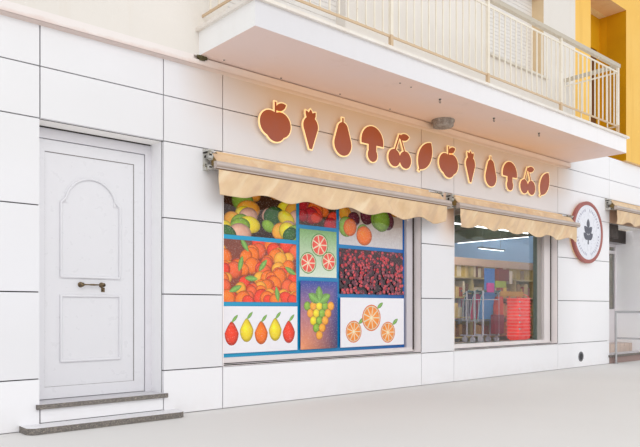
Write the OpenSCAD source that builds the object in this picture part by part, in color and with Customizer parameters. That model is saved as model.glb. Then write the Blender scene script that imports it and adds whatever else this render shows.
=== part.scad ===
// Small supermarket on the ground floor of a two-storey town building.
// Millimetres, Z up. The street front looks towards -Y, and x runs to the right along it.
// The origin is the middle of the bottom of the whole building, balcony and copings included.

/* [Bays of the street front] */
// Width of the pier at the left end
left_pier_w = 650; // [500:10:1200]
// Width of the street door's opening
door_w = 1100; // [1000:10:1300]
// Width of the pier between the street door and the first window
door_pier_w = 640; // [500:10:1200]
// Width of the first shop window
window_1_w = 2990; // [2000:10:3600]
// Width of the pier between the two shop windows
middle_pier_w = 670; // [500:10:1200]
// Width of the second shop window
window_2_w = 2700; // [2000:10:3600]
// Width of the pier that carries the round sign
right_pier_w = 1780; // [1500:10:2400]
// Width of the shop entrance
entrance_w = 1580; // [1300:10:2200]
// Width of the pier at the right end
end_pier_w = 670; // [500:10:1200]

/* [Walls and storeys] */
// Depth of the building from the cladding to the rear wall's face
building_d = 9000; // [7500:50:14000]
// Thickness of the masonry walls
wall_t = 250; // [200:5:350]
// Height of the lowest row of cladding
base_row_h = 410; // [350:5:500]
// Height of each of the three tall rows of cladding
tall_row_h = 700; // [650:5:800]
// Height of the row of cladding behind the sign
sign_row_h = 420; // [400:5:600]
// Height of the row of cladding above the sign
top_row_h = 340; // [250:5:500]
// Thickness of the floor slab and of the roof slab
slab_t = 250; // [200:5:350]
// Clear height of the upper storey
upper_clear_h = 2820; // [2600:10:3200]
// Height of the parapet above the roof slab
parapet_h = 730; // [400:10:1000]
// Height of the shop floor above the pavement
shop_floor_h = 310; // [290:5:330]
// Height of the lobby floor behind the street door
lobby_floor_h = 205; // [190:5:220]

/* [Cladding] */
// Thickness of a cladding panel
panel_t = 40; // [30:1:50]
// Width of the open joint between panels
panel_joint = 10; // [6:1:14]
// Height of the panels above the entrance, over the level of the balcony's underside
wing_panel_h = 330; // [290:5:450]

/* [String course and upper wall] */
// Height of the string course over the cladding
string_h = 80; // [60:5:120]
// Height of the shadow gap under the balcony
shadow_gap_h = 12; // [8:1:20]
// Depth of the shadow gap under the balcony
shadow_gap_d = 30; // [20:1:40]
// Width of the larger notch at the shadow gap's left end
notch_w = 110; // [80:5:160]
// Height of the larger notch
notch_h = 35; // [20:1:45]
// How far the upper wall stands out from the cladding
upper_out = 70; // [50:5:90]
// Width of the cream part of the upper wall
cream_w = 9180; // [9100:10:9400]
// Width of the yellow pier beside the loggia
loggia_pier_w = 525; // [450:5:700]
// Width of the loggia
loggia_w = 1340; // [1200:10:1500]
// Depth of the loggia behind the upper wall's face
loggia_d = 500; // [450:10:900]
// Thickness of the loggia's walls
loggia_wall_t = 150; // [100:5:200]
// Width of the brown door in the loggia
loggia_door_w = 850; // [700:10:900]
// Distance of the brown door from the loggia's right-hand wall
loggia_door_in = 100; // [60:10:200]
// Thickness of the brown door
loggia_door_t = 50; // [40:1:70]
// How deep the brown door sits in the loggia's back wall
loggia_door_recess = 20; // [10:1:50]
// Thickness of the coping on the parapet
coping_t = 50; // [30:5:80]
// How far the coping stands out in front, behind and inwards
coping_out = 40; // [30:5:80]

/* [Balcony] */
// Distance from the left end of the building to the balcony
balcony_x = 2080; // [1900:10:2300]
// Length of the balcony
balcony_w = 6960; // [6600:10:7050]
// How far the balcony slab stands out from the cladding
balcony_d = 965; // [800:5:1200]
// Thickness of the tiled edge on top of the balcony slab
nosing_t = 30; // [20:1:50]
// How far the tiled edge hangs over the slab
nosing_out = 35; // [20:1:50]
// Height of the railing above the balcony floor
railing_h = 1065; // [900:5:1150]
// Width of the handrail
handrail_w = 60; // [40:1:60]
// Thickness of the handrail
handrail_t = 52; // [20:1:60]
// Thickness of the two thin rails
rail_t = 22; // [16:1:30]
// Distance of the second rail below the handrail
second_rail_drop = 110; // [80:5:160]
// Height of the lower rail above the balcony floor
lower_rail_h = 120; // [80:5:160]
// Width of a railing post
post_w = 36; // [30:1:50]
// Width of a railing post's foot
foot_w = 68; // [50:1:74]
// Height of a railing post's foot
foot_h = 18; // [10:1:30]
// Width of a baluster
baluster_w = 14; // [10:1:20]
// Distance from one baluster to the next
baluster_pitch = 120; // [90:5:140]
// Number of bays in the front railing
railing_bays = 4; // [3:1:5]
// Distance from the slab's edge to the railing's centre line
railing_inset = 40; // [30:5:80]
// Extra distance of the right-hand return from the slab's end
right_return_inset = 200; // [60:10:300]
// Radius of the round lamp under the balcony
lamp_r = 145; // [100:5:150]
// Height of the round lamp
lamp_h = 95; // [60:5:120]
// Distance of the lamp's middle from the first window
lamp_out = 140; // [100:10:500]
// Distance of the lamp's middle from the cladding
lamp_q = 235; // [230:5:600]

/* [Upper openings] */
// Distance from the left end to the balcony door
balcony_door_x = 2400; // [2200:10:2600]
// Width of the balcony door
balcony_door_w = 1580; // [1200:10:1800]
// Distance from the left end to the upper window
upper_window_x = 6780; // [6500:10:7000]
// Width of an upper window
upper_window_w = 1420; // [1200:10:1700]
// Height of the window sills above the upper floor
upper_sill_h = 920; // [850:10:1100]
// Height of the heads of the upper openings above the upper floor
upper_head_h = 2210; // [2000:10:2400]
// Thickness of a window sill
sill_t = 30; // [20:1:50]
// How far a sill reaches past its window at each side
sill_ear = 80; // [40:5:120]
// How far a sill stands out from the wall
sill_out = 40; // [30:1:40]
// Thickness of a roller shutter's curtain
shutter_t = 20; // [14:1:30]
// Height of one shutter slat
slat_h = 55; // [40:1:70]
// Depth of the groove between two slats
slat_groove = 6; // [3:1:8]
// How deep the balcony door's shutter sits behind the wall's face
balcony_shutter_recess = 150; // [100:5:250]
// How deep the window shutters sit behind the wall's face
window_shutter_recess = 200; // [100:5:210]

/* [Street door] */
// How deep the door sits behind the cladding
door_recess = 230; // [180:5:235]
// Depth of the door frame
door_frame_d = 60; // [50:1:80]
// Width of the frame that shows on the hinge side and at the head
door_frame_w = 64; // [50:1:80]
// Width of the frame that shows on the lock side
lock_jamb_w = 14; // [10:1:30]
// Height of the frame's head
door_head_w = 95; // [70:1:120]
// Depth of the rebate in the masonry behind the frame on the lock side
door_rebate = 50; // [40:1:70]
// Thickness of the door leaf
leaf_t = 50; // [40:1:55]
// Running gap around the door leaf
leaf_gap = 6; // [5:0.5:8]
// Width of the leaf's stiles and rails
stile_w = 100; // [80:1:120]
// How far the leaf's field lies behind its stiles, at both faces
leaf_relief = 8; // [5:1:12]
// Width of the mouldings around the door's fields
moulding_w = 26; // [15:1:40]
// Width of the door's fields
door_field_w = 559; // [450:1:620]
// Height of the lower field above the bottom rail
field_foot = 200; // [150:1:230]
// Distance between the door's two fields
field_gap = 137; // [90:1:160]
// Height of the door's arched field
arch_field_h = 906; // [800:1:1000]
// Height of the door's lower field
lower_field_h = 590; // [450:1:650]
// Length of the pull handle
handle_l = 250; // [180:5:320]
// Radius of the pull handle's bar
handle_r = 8; // [6:0.5:11]
// How far the pull handle's bar stands off the leaf
handle_out = 45; // [35:1:60]
// Height of the pull handle above the leaf's foot
handle_h = 975; // [900:5:1100]
// Widest angle of the open door
door_open_angle = 100; // [90:1:105]
// Distance of the outer hinges from the leaf's ends
hinge_end = 200; // [150:5:300]
// How far a hinge's flap reaches over the leaf or the frame
hinge_flap = 35; // [25:1:50]
// Radius of a hinge's barrel
hinge_r = 8; // [6:0.5:10]
// Height of one of the two barrels of a hinge
hinge_h = 45; // [30:1:60]
// Running gap between the two barrels of a hinge
hinge_gap = 0.3; // [0.2:0.1:0.5]
// Height of the grey step in front of the door
low_step_h = 50; // [40:1:80]
// How far the grey step stands out
low_step_d = 215; // [180:5:350]
// How far the grey step reaches past the door at the left
low_step_left_ear = 160; // [100:5:200]
// How far the grey step reaches past the door at the right
low_step_right_ear = 115; // [80:5:200]
// Radius of the grey step's two front corners
low_step_round = 75; // [20:5:100]
// Thickness of the landing's stone
landing_t = 40; // [30:1:50]
// How far the landing stands out from the cladding
landing_out = 30; // [20:1:60]
// How far a landing reaches past its opening at each side
landing_ear = 32; // [20:2:60]

/* [Shop windows] */
// How deep the window frames sit behind the cladding
window_recess = 110; // [90:1:150]
// Thickness of the white lining of the window openings
lining_t = 12; // [8:1:20]
// Width of the dark groove around a window frame
frame_groove = 22; // [15:1:30]
// Depth of a window frame
window_frame_d = 130; // [110:1:140]
// Width of a window frame's head and of the second window's left side
window_stile = 100; // [70:1:120]
// Width of the first window's left side
left_stile = 36; // [30:1:120]
// Width of the first window's right side
middle_stile = 124; // [70:1:140]
// Width of the second window's right side
right_stile = 186; // [100:1:200]
// Height of a window frame's bottom rail
window_rail = 42; // [30:1:100]
// How deep the first window's glass sits in its frame
film_glass_in = 42; // [20:1:90]
// How deep the second window's glass sits in its frame
clear_glass_in = 112; // [40:1:115]
// Thickness of the glass
glass_t = 8; // [6:1:12]
// Thickness of the printed film on the first window
film_t = 2; // [1:0.5:3]

/* [Awnings] */
// How far the first awning's bar reaches past its window on the left
awning_1_left = 200; // [120:5:240]
// Distance between the bars of the first and the second awning
awning_gap = 170; // [100:5:200]
// How far the second awning's bar reaches past its window on the left
awning_2_left = 150; // [80:5:160]
// How far the second awning's bar reaches past its window on the right
awning_2_right = 325; // [200:5:340]
// How far the entrance awning's bar reaches past the entrance on the left
awning_3_left = 145; // [60:5:180]
// How far the entrance awning's bar reaches past the entrance on the right
awning_3_right = 220; // [100:5:300]
// How far the cloth stays behind the bar's left end
cloth_in_left = 30; // [10:5:60]
// How far the cloth stays behind the bar's right end
cloth_in_right = 75; // [20:5:90]
// Radius of the roller with the cloth on it
roller_r = 36; // [30:1:45]
// Distance of the roller's axis from the cladding
roller_out = 62; // [60:1:80]
// Height of the roller's axis below the head of the shop windows
roller_drop = 86; // [60:1:110]
// Depth of the front bar
bar_d = 50; // [40:1:60]
// Height of the front bar
bar_h = 68; // [60:1:90]
// Distance of the front bar's face from the cladding
bar_out = 205; // [190:1:230]
// Height of the front bar's top below the head of the shop windows
bar_drop = 150; // [130:1:180]
// Thickness of the awning cloth
cloth_t = 4; // [3:0.5:6]
// Height of the valance at its deepest points
valance_h = 248; // [200:1:270]
// Depth of the scallops
scallop_d = 52; // [30:1:70]
// Width of one scallop
scallop_w = 590; // [400:10:800]
// Distance from the first awning's left end to its first scallop's lowest point
scallop_1_start = 270; // [0:10:500]
// Distance from the other awnings' left ends to their first scallop's lowest point
scallop_2_start = 160; // [0:10:500]
// Width of an awning bracket
bracket_w = 52; // [40:1:60]
// Gap between the cloth and a bracket
bracket_gap = 4; // [3:0.5:8]
// Height and depth of an awning's arms
arm_t = 32; // [25:1:40]
// Length of an awning's folded arms
arm_l = 850; // [600:10:850]

/* [Signs] */
// Number of raised shapes on the long sign
sign_n = 12; // [6:1:12]
// Where the first raised shape's middle is
sign_x = 3000; // [2950:5:3100]
// Distance from one raised shape to the next
sign_pitch = 478; // [440:1:480]
// Height of a raised shape
sign_h = 420; // [360:5:440]
// Distance of the raised shapes' foot below the joint over them
sign_drop = 230; // [200:5:260]
// Depth of the lit body of a raised shape
sign_d = 50; // [30:1:70]
// Thickness of the brown face of a raised shape
sign_face_t = 5; // [3:1:8]
// Radius of the round sign
round_sign_r = 520; // [420:5:525]
// Width of the round sign's rim
round_rim_w = 62; // [40:1:90]
// Depth of the round sign
round_sign_d = 74; // [50:1:90]
// How far the rim stands out from the round sign's face
round_rim_out = 6; // [3:1:10]
// Height of the round sign's middle above the pavement
round_sign_z = 2260; // [2200:5:2350]
// Distance from the end of the second awning's bar to the round sign
round_sign_gap = 15; // [10:1:80]
// Bore radius of the vent near the ground
vent_r = 55; // [40:1:60]
// Height of the vent's axis
vent_z = 175; // [150:5:220]
// Distance of the vent's axis from the second window
vent_out = 750; // [500:10:900]
// Width of the flange around the vent's bore
vent_flange = 28; // [20:1:40]

/* [Shop entrance] */
// How deep the entrance screen sits behind the cladding
entrance_recess = 600; // [560:10:900]
// Width of the screen's posts
screen_post = 60; // [45:1:80]
// Depth of the screen's posts
screen_d = 60; // [50:1:80]
// Height of the top of the screen's solid lower part above the shop floor
screen_solid_h = 660; // [500:5:800]
// Height of the screen's transom above the shop floor
screen_transom_h = 1760; // [1700:5:1900]
// Height of the dark box under the head of the entrance
shutter_box_h = 250; // [200:5:300]
// Radius of the entrance handrail's tube
tube_r = 21; // [16:1:25]
// Height of the entrance handrail above the pavement
tube_h = 920; // [850:5:1000]
// Distance of the handrail from the entrance's left edge
handrail_in = 130; // [80:5:200]
// Distance of the handrail's first post from the cladding
handrail_out = 60; // [55:1:100]
// Distance between the handrail's two posts
handrail_l = 540; // [400:10:700]
// Height of the handrail's middle rail above the pavement
middle_rail_h = 455; // [350:5:600]
// How far the dark box stands out from the screen
shutter_box_out = 190; // [100:5:250]

/* [Rear] */
// Width of the rear door
rear_door_w = 1000; // [900:10:1200]
// Height of the rear door above the shop floor
rear_door_h = 2100; // [2000:10:2200]
// Thickness of the rear door's leaf and frame
rear_door_t = 60; // [45:1:80]
// Width of the rear door's frame
rear_frame_w = 60; // [45:1:80]
// How deep the rear door sits behind the rear wall's face
rear_door_recess = 90; // [50:5:120]
// How deep the rear shutters sit behind the rear wall's face
rear_recess = 150; // [80:5:180]

/* [Inside the shop] */
// Distance of the indoor pieces' front ends from the cladding
indoor_in = 2100; // [1500:50:3000]
// Distance of the trolleys from the second window's right edge
trolley_out = 990; // [600:10:1200]
// Width of a trolley
trolley_w = 520; // [450:10:600]
// Length of a trolley's base
trolley_l = 700; // [600:10:800]
// Height of a trolley's handle
trolley_h = 1000; // [900:10:1050]
// Height of the underside of a trolley's basket
trolley_low = 420; // [350:10:500]
// Height of the top edge of a trolley's basket
trolley_high = 840; // [780:10:880]
// Radius of a trolley's wheel
wheel_r = 60; // [50:1:70]
// Distance from the trolleys to the stack of baskets
basket_out = 590; // [300:10:700]
// Width of a basket
basket_w = 440; // [350:10:500]
// Depth of a basket
basket_d = 300; // [250:10:350]
// Distance from one basket's rim to the next
basket_pitch = 70; // [50:5:90]
// Number of ceiling lights
light_n = 3; // [1:1:3]
// Distance from one ceiling light to the next
light_pitch = 2000; // [1500:50:2200]
// Width of a ceiling light
light_w = 110; // [80:5:160]
// Height of a ceiling light
light_h = 60; // [40:5:80]
// Height of the lights' underside above the head of the shop windows
light_up = 50; // [20:5:300]
// Number of trolleys in the row
trolley_n = 4; // [1:1:6]
// Distance from one trolley to the next
trolley_pitch = 190; // [150:5:300]
// Number of baskets in the stack
basket_n = 9; // [2:1:12]
// Length of a ceiling light
light_l = 1900; // [1000:50:2200]

/* [Hidden] */

$fn = 48;

// Spans along the front, from the left end of the building
door_x = [left_pier_w, left_pier_w + door_w];
window_1_x = [door_x[1] + door_pier_w, door_x[1] + door_pier_w + window_1_w];
window_2_x = [window_1_x[1] + middle_pier_w, window_1_x[1] + middle_pier_w + window_2_w];
entrance_x = [window_2_x[1] + right_pier_w, window_2_x[1] + right_pier_w + entrance_w];
building_w = entrance_x[1] + end_pier_w;
inside_x = [wall_t, building_w - wall_t];
balcony_span = [balcony_x, balcony_x + balcony_w];
loggia_x = [cream_w + loggia_pier_w, cream_w + loggia_pier_w + loggia_w];

// Heights
shop_head = base_row_h + 3 * tall_row_h;
top_row_z = shop_head + sign_row_h;
string_z = top_row_z + top_row_h;
soffit_z = string_z + string_h;
balcony_slab_t = slab_t - nosing_t;
upper_floor_z = soffit_z + slab_t;
wing_z = soffit_z + wing_panel_h;
upper_sill_z = upper_floor_z + upper_sill_h;
upper_head_z = upper_floor_z + upper_head_h;
upper_ceiling_z = upper_floor_z + upper_clear_h;
roof_z = upper_ceiling_z + slab_t;
parapet_z = roof_z + parapet_h;

// Depths, counted outwards from the face of the cladding
masonry_q = [-panel_t - wall_t, -panel_t];
upper_wall_q = [masonry_q[0], upper_out];
rear_q = [-building_d, -building_d + wall_t];
inside_q = [rear_q[1], masonry_q[0]];
front_most = balcony_d + nosing_out;
total_d = front_most + building_d + coping_out;
face_y = front_most - total_d / 2;
mid_x = building_w / 2;

// Street door: the leaf between its frame's jambs
leaf_x = [door_x[0] + lock_jamb_w + leaf_gap, door_x[1] - door_frame_w - leaf_gap];
leaf_z = [lobby_floor_h + leaf_gap, shop_head - door_head_w - leaf_gap];
door_frame_q = [-door_recess - door_frame_d, -door_recess];
leaf_q = [door_frame_q[0], door_frame_q[0] + leaf_t];
hinge_x = leaf_x[1] + leaf_gap / 2;
hinge_q = leaf_q[0] - hinge_r;
hinge_levels = [leaf_z[0] + hinge_end, (leaf_z[0] + leaf_z[1]) / 2, leaf_z[1] - hinge_end];

// Lobby floor, large enough for the open leaf
lobby_x1 = leaf_x[1] + (leaf_x[1] - leaf_x[0]) * sin(door_open_angle - 90) + 4 * leaf_t;
lobby_q0 = masonry_q[0] - (leaf_x[1] - leaf_x[0]) - 7 * leaf_t;

// Rear windows and the rear door: three bays
rear_bay_w = building_w / 3;
rear_upper_bays = [0, 1, 2];
rear_lower_bays = [1, 2];
rear_lower_sill_z = shop_head - (upper_head_h - upper_sill_h);
rear_door_x = [(rear_bay_w - rear_door_w) / 2, (rear_bay_w + rear_door_w) / 2];
rear_door_z = [shop_floor_h, shop_floor_h + rear_door_h];

// Balcony railing
railing_z = upper_floor_z + railing_h;
railing_q = balcony_d - railing_inset;
railing_x = [balcony_span[0] + railing_inset, balcony_span[1] - right_return_inset];
railing_bay = (railing_x[1] - railing_x[0]) / railing_bays;

// Awning levels
roller_z = shop_head - roller_drop;
bar_z = [shop_head - bar_drop - bar_h, shop_head - bar_drop];
bar_q = [bar_out - bar_d, bar_out];
awning_2_x = [window_2_x[0] - awning_2_left, window_2_x[1] + awning_2_right];
awning_1_x = [window_1_x[0] - awning_1_left, awning_2_x[0] - awning_gap];
awning_3_x = [entrance_x[0] - awning_3_left, entrance_x[1] + awning_3_right];

// Round sign: right of the second awning's bar
round_sign_x = awning_2_x[1] + round_sign_gap + round_sign_r;

sign_z = top_row_z - sign_drop;
vent_x = window_2_x[1] + vent_out;
lamp_x = window_1_x[1] + lamp_out;

// A block between two corners, given along the front, outwards and upwards
module block(x, q, z) {
    translate([x[0] - mid_x, face_y - q[1], z[0]])
        cube([x[1] - x[0], q[1] - q[0], z[1] - z[0]]);
}

// A plate seen from the street: its outline is in x and z, its thickness spans q
module front_plate(q) {
    translate([-mid_x, face_y - q[0], 0])
        rotate([90, 0, 0])
            linear_extrude(height = q[1] - q[0]) children();
}

// A flat shape seen from above, raised through z
module plan_plate(z) {
    translate([-mid_x, face_y, z[0]])
        linear_extrude(height = z[1] - z[0])
            mirror([0, 1]) children();
}

// A rectangle between two corners
module rect(a, b) {
    translate([a[0], b[0]]) square([a[1] - a[0], b[1] - b[0]]);
}

// A round bar along x, along the outward direction or upright
module bar_x(x, q, z, r) {
    translate([x[0] - mid_x, face_y - q, z]) rotate([0, 90, 0]) cylinder(r = r, h = x[1] - x[0]);
}

module bar_q(x, q, z, r) {
    translate([x - mid_x, face_y - q[0], z]) rotate([90, 0, 0]) cylinder(r = r, h = q[1] - q[0]);
}

module bar_z(x, q, z, r) {
    translate([x - mid_x, face_y - q, z[0]]) cylinder(r = r, h = z[1] - z[0]);
}

// A span moved up from a level
function above(level, span) = [level + span[0], level + span[1]];

// Floors

module shop_floor() {
    color("lightgray") plan_plate([0, shop_floor_h]) polygon([
        [lobby_x1, inside_q[1]], [inside_x[1], inside_q[1]], [inside_x[1], inside_q[0]],
        [inside_x[0], inside_q[0]], [inside_x[0], lobby_q0], [lobby_x1, lobby_q0]]);
}

module lobby_floor() {
    color("gainsboro") block([inside_x[0], lobby_x1], [lobby_q0, inside_q[1]], [0, lobby_floor_h]);
}

module upper_floor_slab() {
    color("silver") block(inside_x, inside_q, [soffit_z, upper_floor_z]);
}

module roof_slab() {
    color("silver") block(inside_x, inside_q, [upper_ceiling_z, roof_z]);
}

// Walls

module party_wall_left() {
    color("ivory") block([0, wall_t], inside_q, [0, parapet_z]);
}

module party_wall_right() {
    color("ivory") block([building_w - wall_t, building_w], inside_q, [0, parapet_z]);
}

// Left edge of the window in a rear bay
function rear_window_x(bay) = bay * rear_bay_w + (rear_bay_w - upper_window_w) / 2;

// Span of the window in a rear bay
function rear_window_span(bay) = [rear_window_x(bay), rear_window_x(bay) + upper_window_w];

module rear_wall() {
    cut_q = [rear_q[0] - 1, rear_q[1] + 1];
    color("ivory") difference() {
        block([0, building_w], rear_q, [0, parapet_z]);
        for (bay = rear_upper_bays)
            block(rear_window_span(bay), cut_q, [upper_sill_z, upper_head_z]);
        for (bay = rear_lower_bays)
            block(rear_window_span(bay), cut_q, [rear_lower_sill_z, shop_head]);
        block(rear_door_x, cut_q, rear_door_z);
    }
}

module front_piers() {
    z = [0, shop_head];
    cheek_q = [-entrance_recess - screen_d, masonry_q[0]];
    cheek_z = [shop_floor_h, shop_head];
    color("dimgray") {
        difference() {
            block([0, door_x[0]], masonry_q, z);
            block([door_x[0] - door_rebate, door_x[0] + 1],
                  [masonry_q[0] - 1, -door_recess], [lobby_floor_h, shop_head + 1]);
        }
        block([door_x[1], window_1_x[0]], masonry_q, z);
        block([window_1_x[1], window_2_x[0]], masonry_q, z);
        union() {
            block([window_2_x[1], entrance_x[0]], masonry_q, z);
            block([entrance_x[0] - loggia_wall_t, entrance_x[0]], cheek_q, cheek_z);
        }
        union() {
            block([entrance_x[1], building_w], masonry_q, z);
            block([entrance_x[1], entrance_x[1] + loggia_wall_t], cheek_q, cheek_z);
        }
    }
}

module sill_walls() {
    color("dimgray") {
        block(door_x, masonry_q, [0, lobby_floor_h - landing_t]);
        block(window_1_x, masonry_q, [0, base_row_h]);
        block(window_2_x, masonry_q, [0, base_row_h]);
    }
}

module front_lintel() {
    color("dimgray") front_plate(masonry_q) union() {
        rect([0, building_w], [shop_head, soffit_z]);
        rect([balcony_span[1], building_w], [shop_head, wing_z]);
    }
}

module upper_front_wall() {
    color("linen") front_plate(upper_wall_q) difference() {
        polygon([
            [0, soffit_z], [balcony_span[0], soffit_z],
            [balcony_span[0], upper_floor_z - nosing_t], [balcony_span[1], upper_floor_z - nosing_t],
            [balcony_span[1], wing_z], [cream_w, wing_z], [cream_w, parapet_z], [0, parapet_z]]);
        rect([balcony_door_x, balcony_door_x + balcony_door_w], [upper_floor_z, upper_head_z]);
        rect([upper_window_x, upper_window_x + upper_window_w], [upper_sill_z, upper_head_z]);
    }
}

module wing_wall() {
    color("orange") front_plate(upper_wall_q) difference() {
        rect([cream_w, building_w], [wing_z, parapet_z]);
        rect(loggia_x, [wing_z - 1, upper_ceiling_z]);
    }
}

module loggia_walls() {
    back_q = upper_out - loggia_d;
    outer_x = [loggia_x[0] - loggia_wall_t, loggia_x[1] + loggia_wall_t];
    color("goldenrod") difference() {
        block(outer_x, [back_q - loggia_wall_t, inside_q[1]], [upper_floor_z, upper_ceiling_z]);
        block(loggia_x, [back_q, inside_q[1] + 1], [upper_floor_z - 1, upper_ceiling_z + 1]);
        block(loggia_door_x(), [back_q - loggia_wall_t - 1, back_q + 1],
              [upper_floor_z - 1, upper_head_z]);
    }
}

// Span of the brown door in the loggia's back wall
function loggia_door_x() = [loggia_x[1] - loggia_door_in - loggia_door_w, loggia_x[1] - loggia_door_in];

module loggia_door() {
    out_q = upper_out - loggia_d - loggia_door_recess;
    color("saddlebrown")
        block(loggia_door_x(), [out_q - loggia_door_t, out_q], [upper_floor_z, upper_head_z]);
}

module roof_coping() {
    color("whitesmoke") difference() {
        block([0, building_w], [rear_q[0] - coping_out, upper_out + coping_out],
              [parapet_z, parapet_z + coping_t]);
        block([wall_t + coping_out, building_w - wall_t - coping_out],
              [rear_q[1] + coping_out, masonry_q[0] - coping_out],
              [parapet_z - 1, parapet_z + coping_t + 1]);
    }
}

module string_course() {
    gap_q = [upper_out - shadow_gap_d, upper_out + 1];
    color("antiquewhite") difference() {
        block([0, balcony_span[1]], [-panel_t, upper_out], [string_z, soffit_z]);
        block([balcony_span[0], balcony_span[1] + 1], gap_q, [soffit_z - shadow_gap_h, soffit_z + 1]);
        block([balcony_span[0] - notch_w / 2, balcony_span[0] + notch_w / 2], gap_q,
              [soffit_z - notch_h, soffit_z + 1]);
    }
}

// Cladding: one panel for each cell between two joints, on the face of the masonry

module panel(x, z) {
    g = panel_joint / 2;
    block([x[0] + g, x[1] - g], [-panel_t, 0], [z[0] + g, z[1] - g]);
}

// Spans of the piers, left to right
function pier_spans() = [
    [0, door_x[0]], [door_x[1], window_1_x[0]], [window_1_x[1], window_2_x[0]],
    [window_2_x[1], entrance_x[0]], [entrance_x[1], building_w]];

// Spans of all columns of panels, left to right
function column_spans() = [
    [0, door_x[0]], door_x, [door_x[1], window_1_x[0]], window_1_x, [window_1_x[1], window_2_x[0]],
    window_2_x, [window_2_x[1], entrance_x[0]], entrance_x, [entrance_x[1], building_w]];

module cladding_base_row() {
    color("white") {
        difference() {
            union() {
                for (x = concat(pier_spans(), [window_1_x, window_2_x]))
                    panel(x, [0, base_row_h]);
            }
            bar_q(vent_x, [-panel_t - 1, 1], vent_z, vent_r + vent_flange / 2 + 0.5);
        }
        panel(door_x, [low_step_h, lobby_floor_h - landing_t + panel_joint / 2]);
    }
}

module cladding_tall_rows() {
    color("white") for (x = pier_spans(), row = [0:2])
        panel(x, [base_row_h + row * tall_row_h, base_row_h + (row + 1) * tall_row_h]);
}

module cladding_top_rows() {
    color("white") {
        for (x = column_spans()) {
            panel(x, [shop_head, top_row_z]);
            panel(x, [top_row_z, string_z]);
        }
        for (x = [[balcony_span[1], entrance_x[0]], entrance_x, [entrance_x[1], building_w]])
            panel(x, [string_z, wing_z]);
    }
}

// Shop windows

// A frame around a rectangle: widths at the sides, head and foot
module ring_plate(q, x, z, side, head, foot) {
    front_plate(q) difference() {
        rect(x, z);
        rect([x[0] + side, x[1] - side], [z[0] + foot, z[1] - head]);
    }
}

// A span with the same amount taken off at both ends
function shrunk(span, by) = [span[0] + by, span[1] - by];

module window_linings() {
    color("floralwhite") for (x = [window_1_x, window_2_x])
        ring_plate([-window_recess - window_frame_d, 0], x, [base_row_h, shop_head],
                   lining_t, lining_t, lining_t);
}

// Openings left for the glass in the two windows
frame_in = lining_t + frame_groove;
glass_1_x = [window_1_x[0] + frame_in + left_stile, window_1_x[1] - frame_in - middle_stile];
glass_2_x = [window_2_x[0] + frame_in + window_stile, window_2_x[1] - frame_in - right_stile];
glass_z = [base_row_h + frame_in + window_rail, shop_head - frame_in - window_stile];
film_glass_q = -window_recess - film_glass_in;
clear_glass_q = -window_recess - clear_glass_in;

// A frame with the opening for its glass, and a thin flange that closes the groove around it
module window_frame(x, pane_x) {
    back_q = -window_recess - window_frame_d;
    flange = 15;
    union() {
        front_plate([back_q, -window_recess]) difference() {
            rect(shrunk(x, frame_in), shrunk([base_row_h, shop_head], frame_in));
            rect(pane_x, glass_z);
        }
        front_plate([back_q, back_q + flange]) difference() {
            rect(shrunk(x, lining_t), shrunk([base_row_h, shop_head], lining_t));
            rect(pane_x, glass_z);
        }
    }
}

module window_frames() {
    color("white") {
        window_frame(window_1_x, glass_1_x);
        window_frame(window_2_x, glass_2_x);
    }
}

module window_glass() {
    color("lightblue") {
        block(glass_1_x, [film_glass_q - glass_t, film_glass_q], glass_z);
        block(glass_2_x, [clear_glass_q - glass_t, clear_glass_q], glass_z);
    }
}

module window_film() {
    color("steelblue") block(glass_1_x, [film_glass_q, film_glass_q + film_t], glass_z);
}

// Street door

// One barrel of a hinge with the flap that carries it, reaching to flap_x
module hinge_barrel(flap_x, z) {
    bar_z(hinge_x, hinge_q, z, hinge_r);
    block([min(flap_x, hinge_x), max(flap_x, hinge_x)], [hinge_q + hinge_r / 2, leaf_q[0]], z);
}

module door_frame() {
    head_z = shop_head - door_head_w;
    color("white") union() {
        front_plate(door_frame_q) union() {
            rect([door_x[0] - door_rebate, leaf_x[0] - leaf_gap], [lobby_floor_h, shop_head]);
            rect([leaf_x[1] + leaf_gap, door_x[1]], [lobby_floor_h, shop_head]);
            rect([door_x[0] - door_rebate, door_x[1]], [head_z, shop_head]);
        }
        for (z = hinge_levels)
            hinge_barrel(leaf_x[1] + leaf_gap + hinge_flap, [z - hinge_gap - hinge_h, z - hinge_gap]);
    }
}

// Outline of the arched field: straight sides, small shoulders and a round head
module arch_outline(w, h) {
    shoulder = w * 0.09;
    r = (w - 2 * shoulder) / 2 + 18;
    spring = h - r;
    union() {
        rect([-w / 2, w / 2], [0, spring]);
        intersection() {
            translate([0, spring]) circle(r = r, $fn = 72);
            rect([-w / 2 + shoulder, w / 2 - shoulder], [0, h]);
        }
    }
}

module door_leaf() {
    mid = (leaf_x[0] + leaf_x[1]) / 2;
    insert_x = shrunk(leaf_x, stile_w);
    insert_z = shrunk(leaf_z, stile_w);
    field_x = [mid - door_field_w / 2, mid + door_field_w / 2];
    low_z = insert_z[0] + field_foot;
    field_z = [low_z, low_z + lower_field_h];
    arch_z = field_z[1] + field_gap;
    face_q = leaf_q[1] - leaf_relief;
    color("white") union() {
        ring_plate(leaf_q, leaf_x, leaf_z, stile_w, stile_w, stile_w);
        block(insert_x, [leaf_q[0] + leaf_relief, face_q], insert_z);
        for (z = hinge_levels) hinge_barrel(leaf_x[1] - hinge_flap, [z, z + hinge_h]);
        front_plate([face_q - 1, leaf_q[1] - 1]) {
            translate([mid, arch_z]) difference() {
                arch_outline(door_field_w, arch_field_h);
                translate([0, moulding_w])
                    arch_outline(door_field_w - 2 * moulding_w, arch_field_h - 2 * moulding_w);
            }
            difference() {
                rect(field_x, field_z);
                rect(shrunk(field_x, moulding_w), shrunk(field_z, moulding_w));
            }
        }
    }
}

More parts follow.
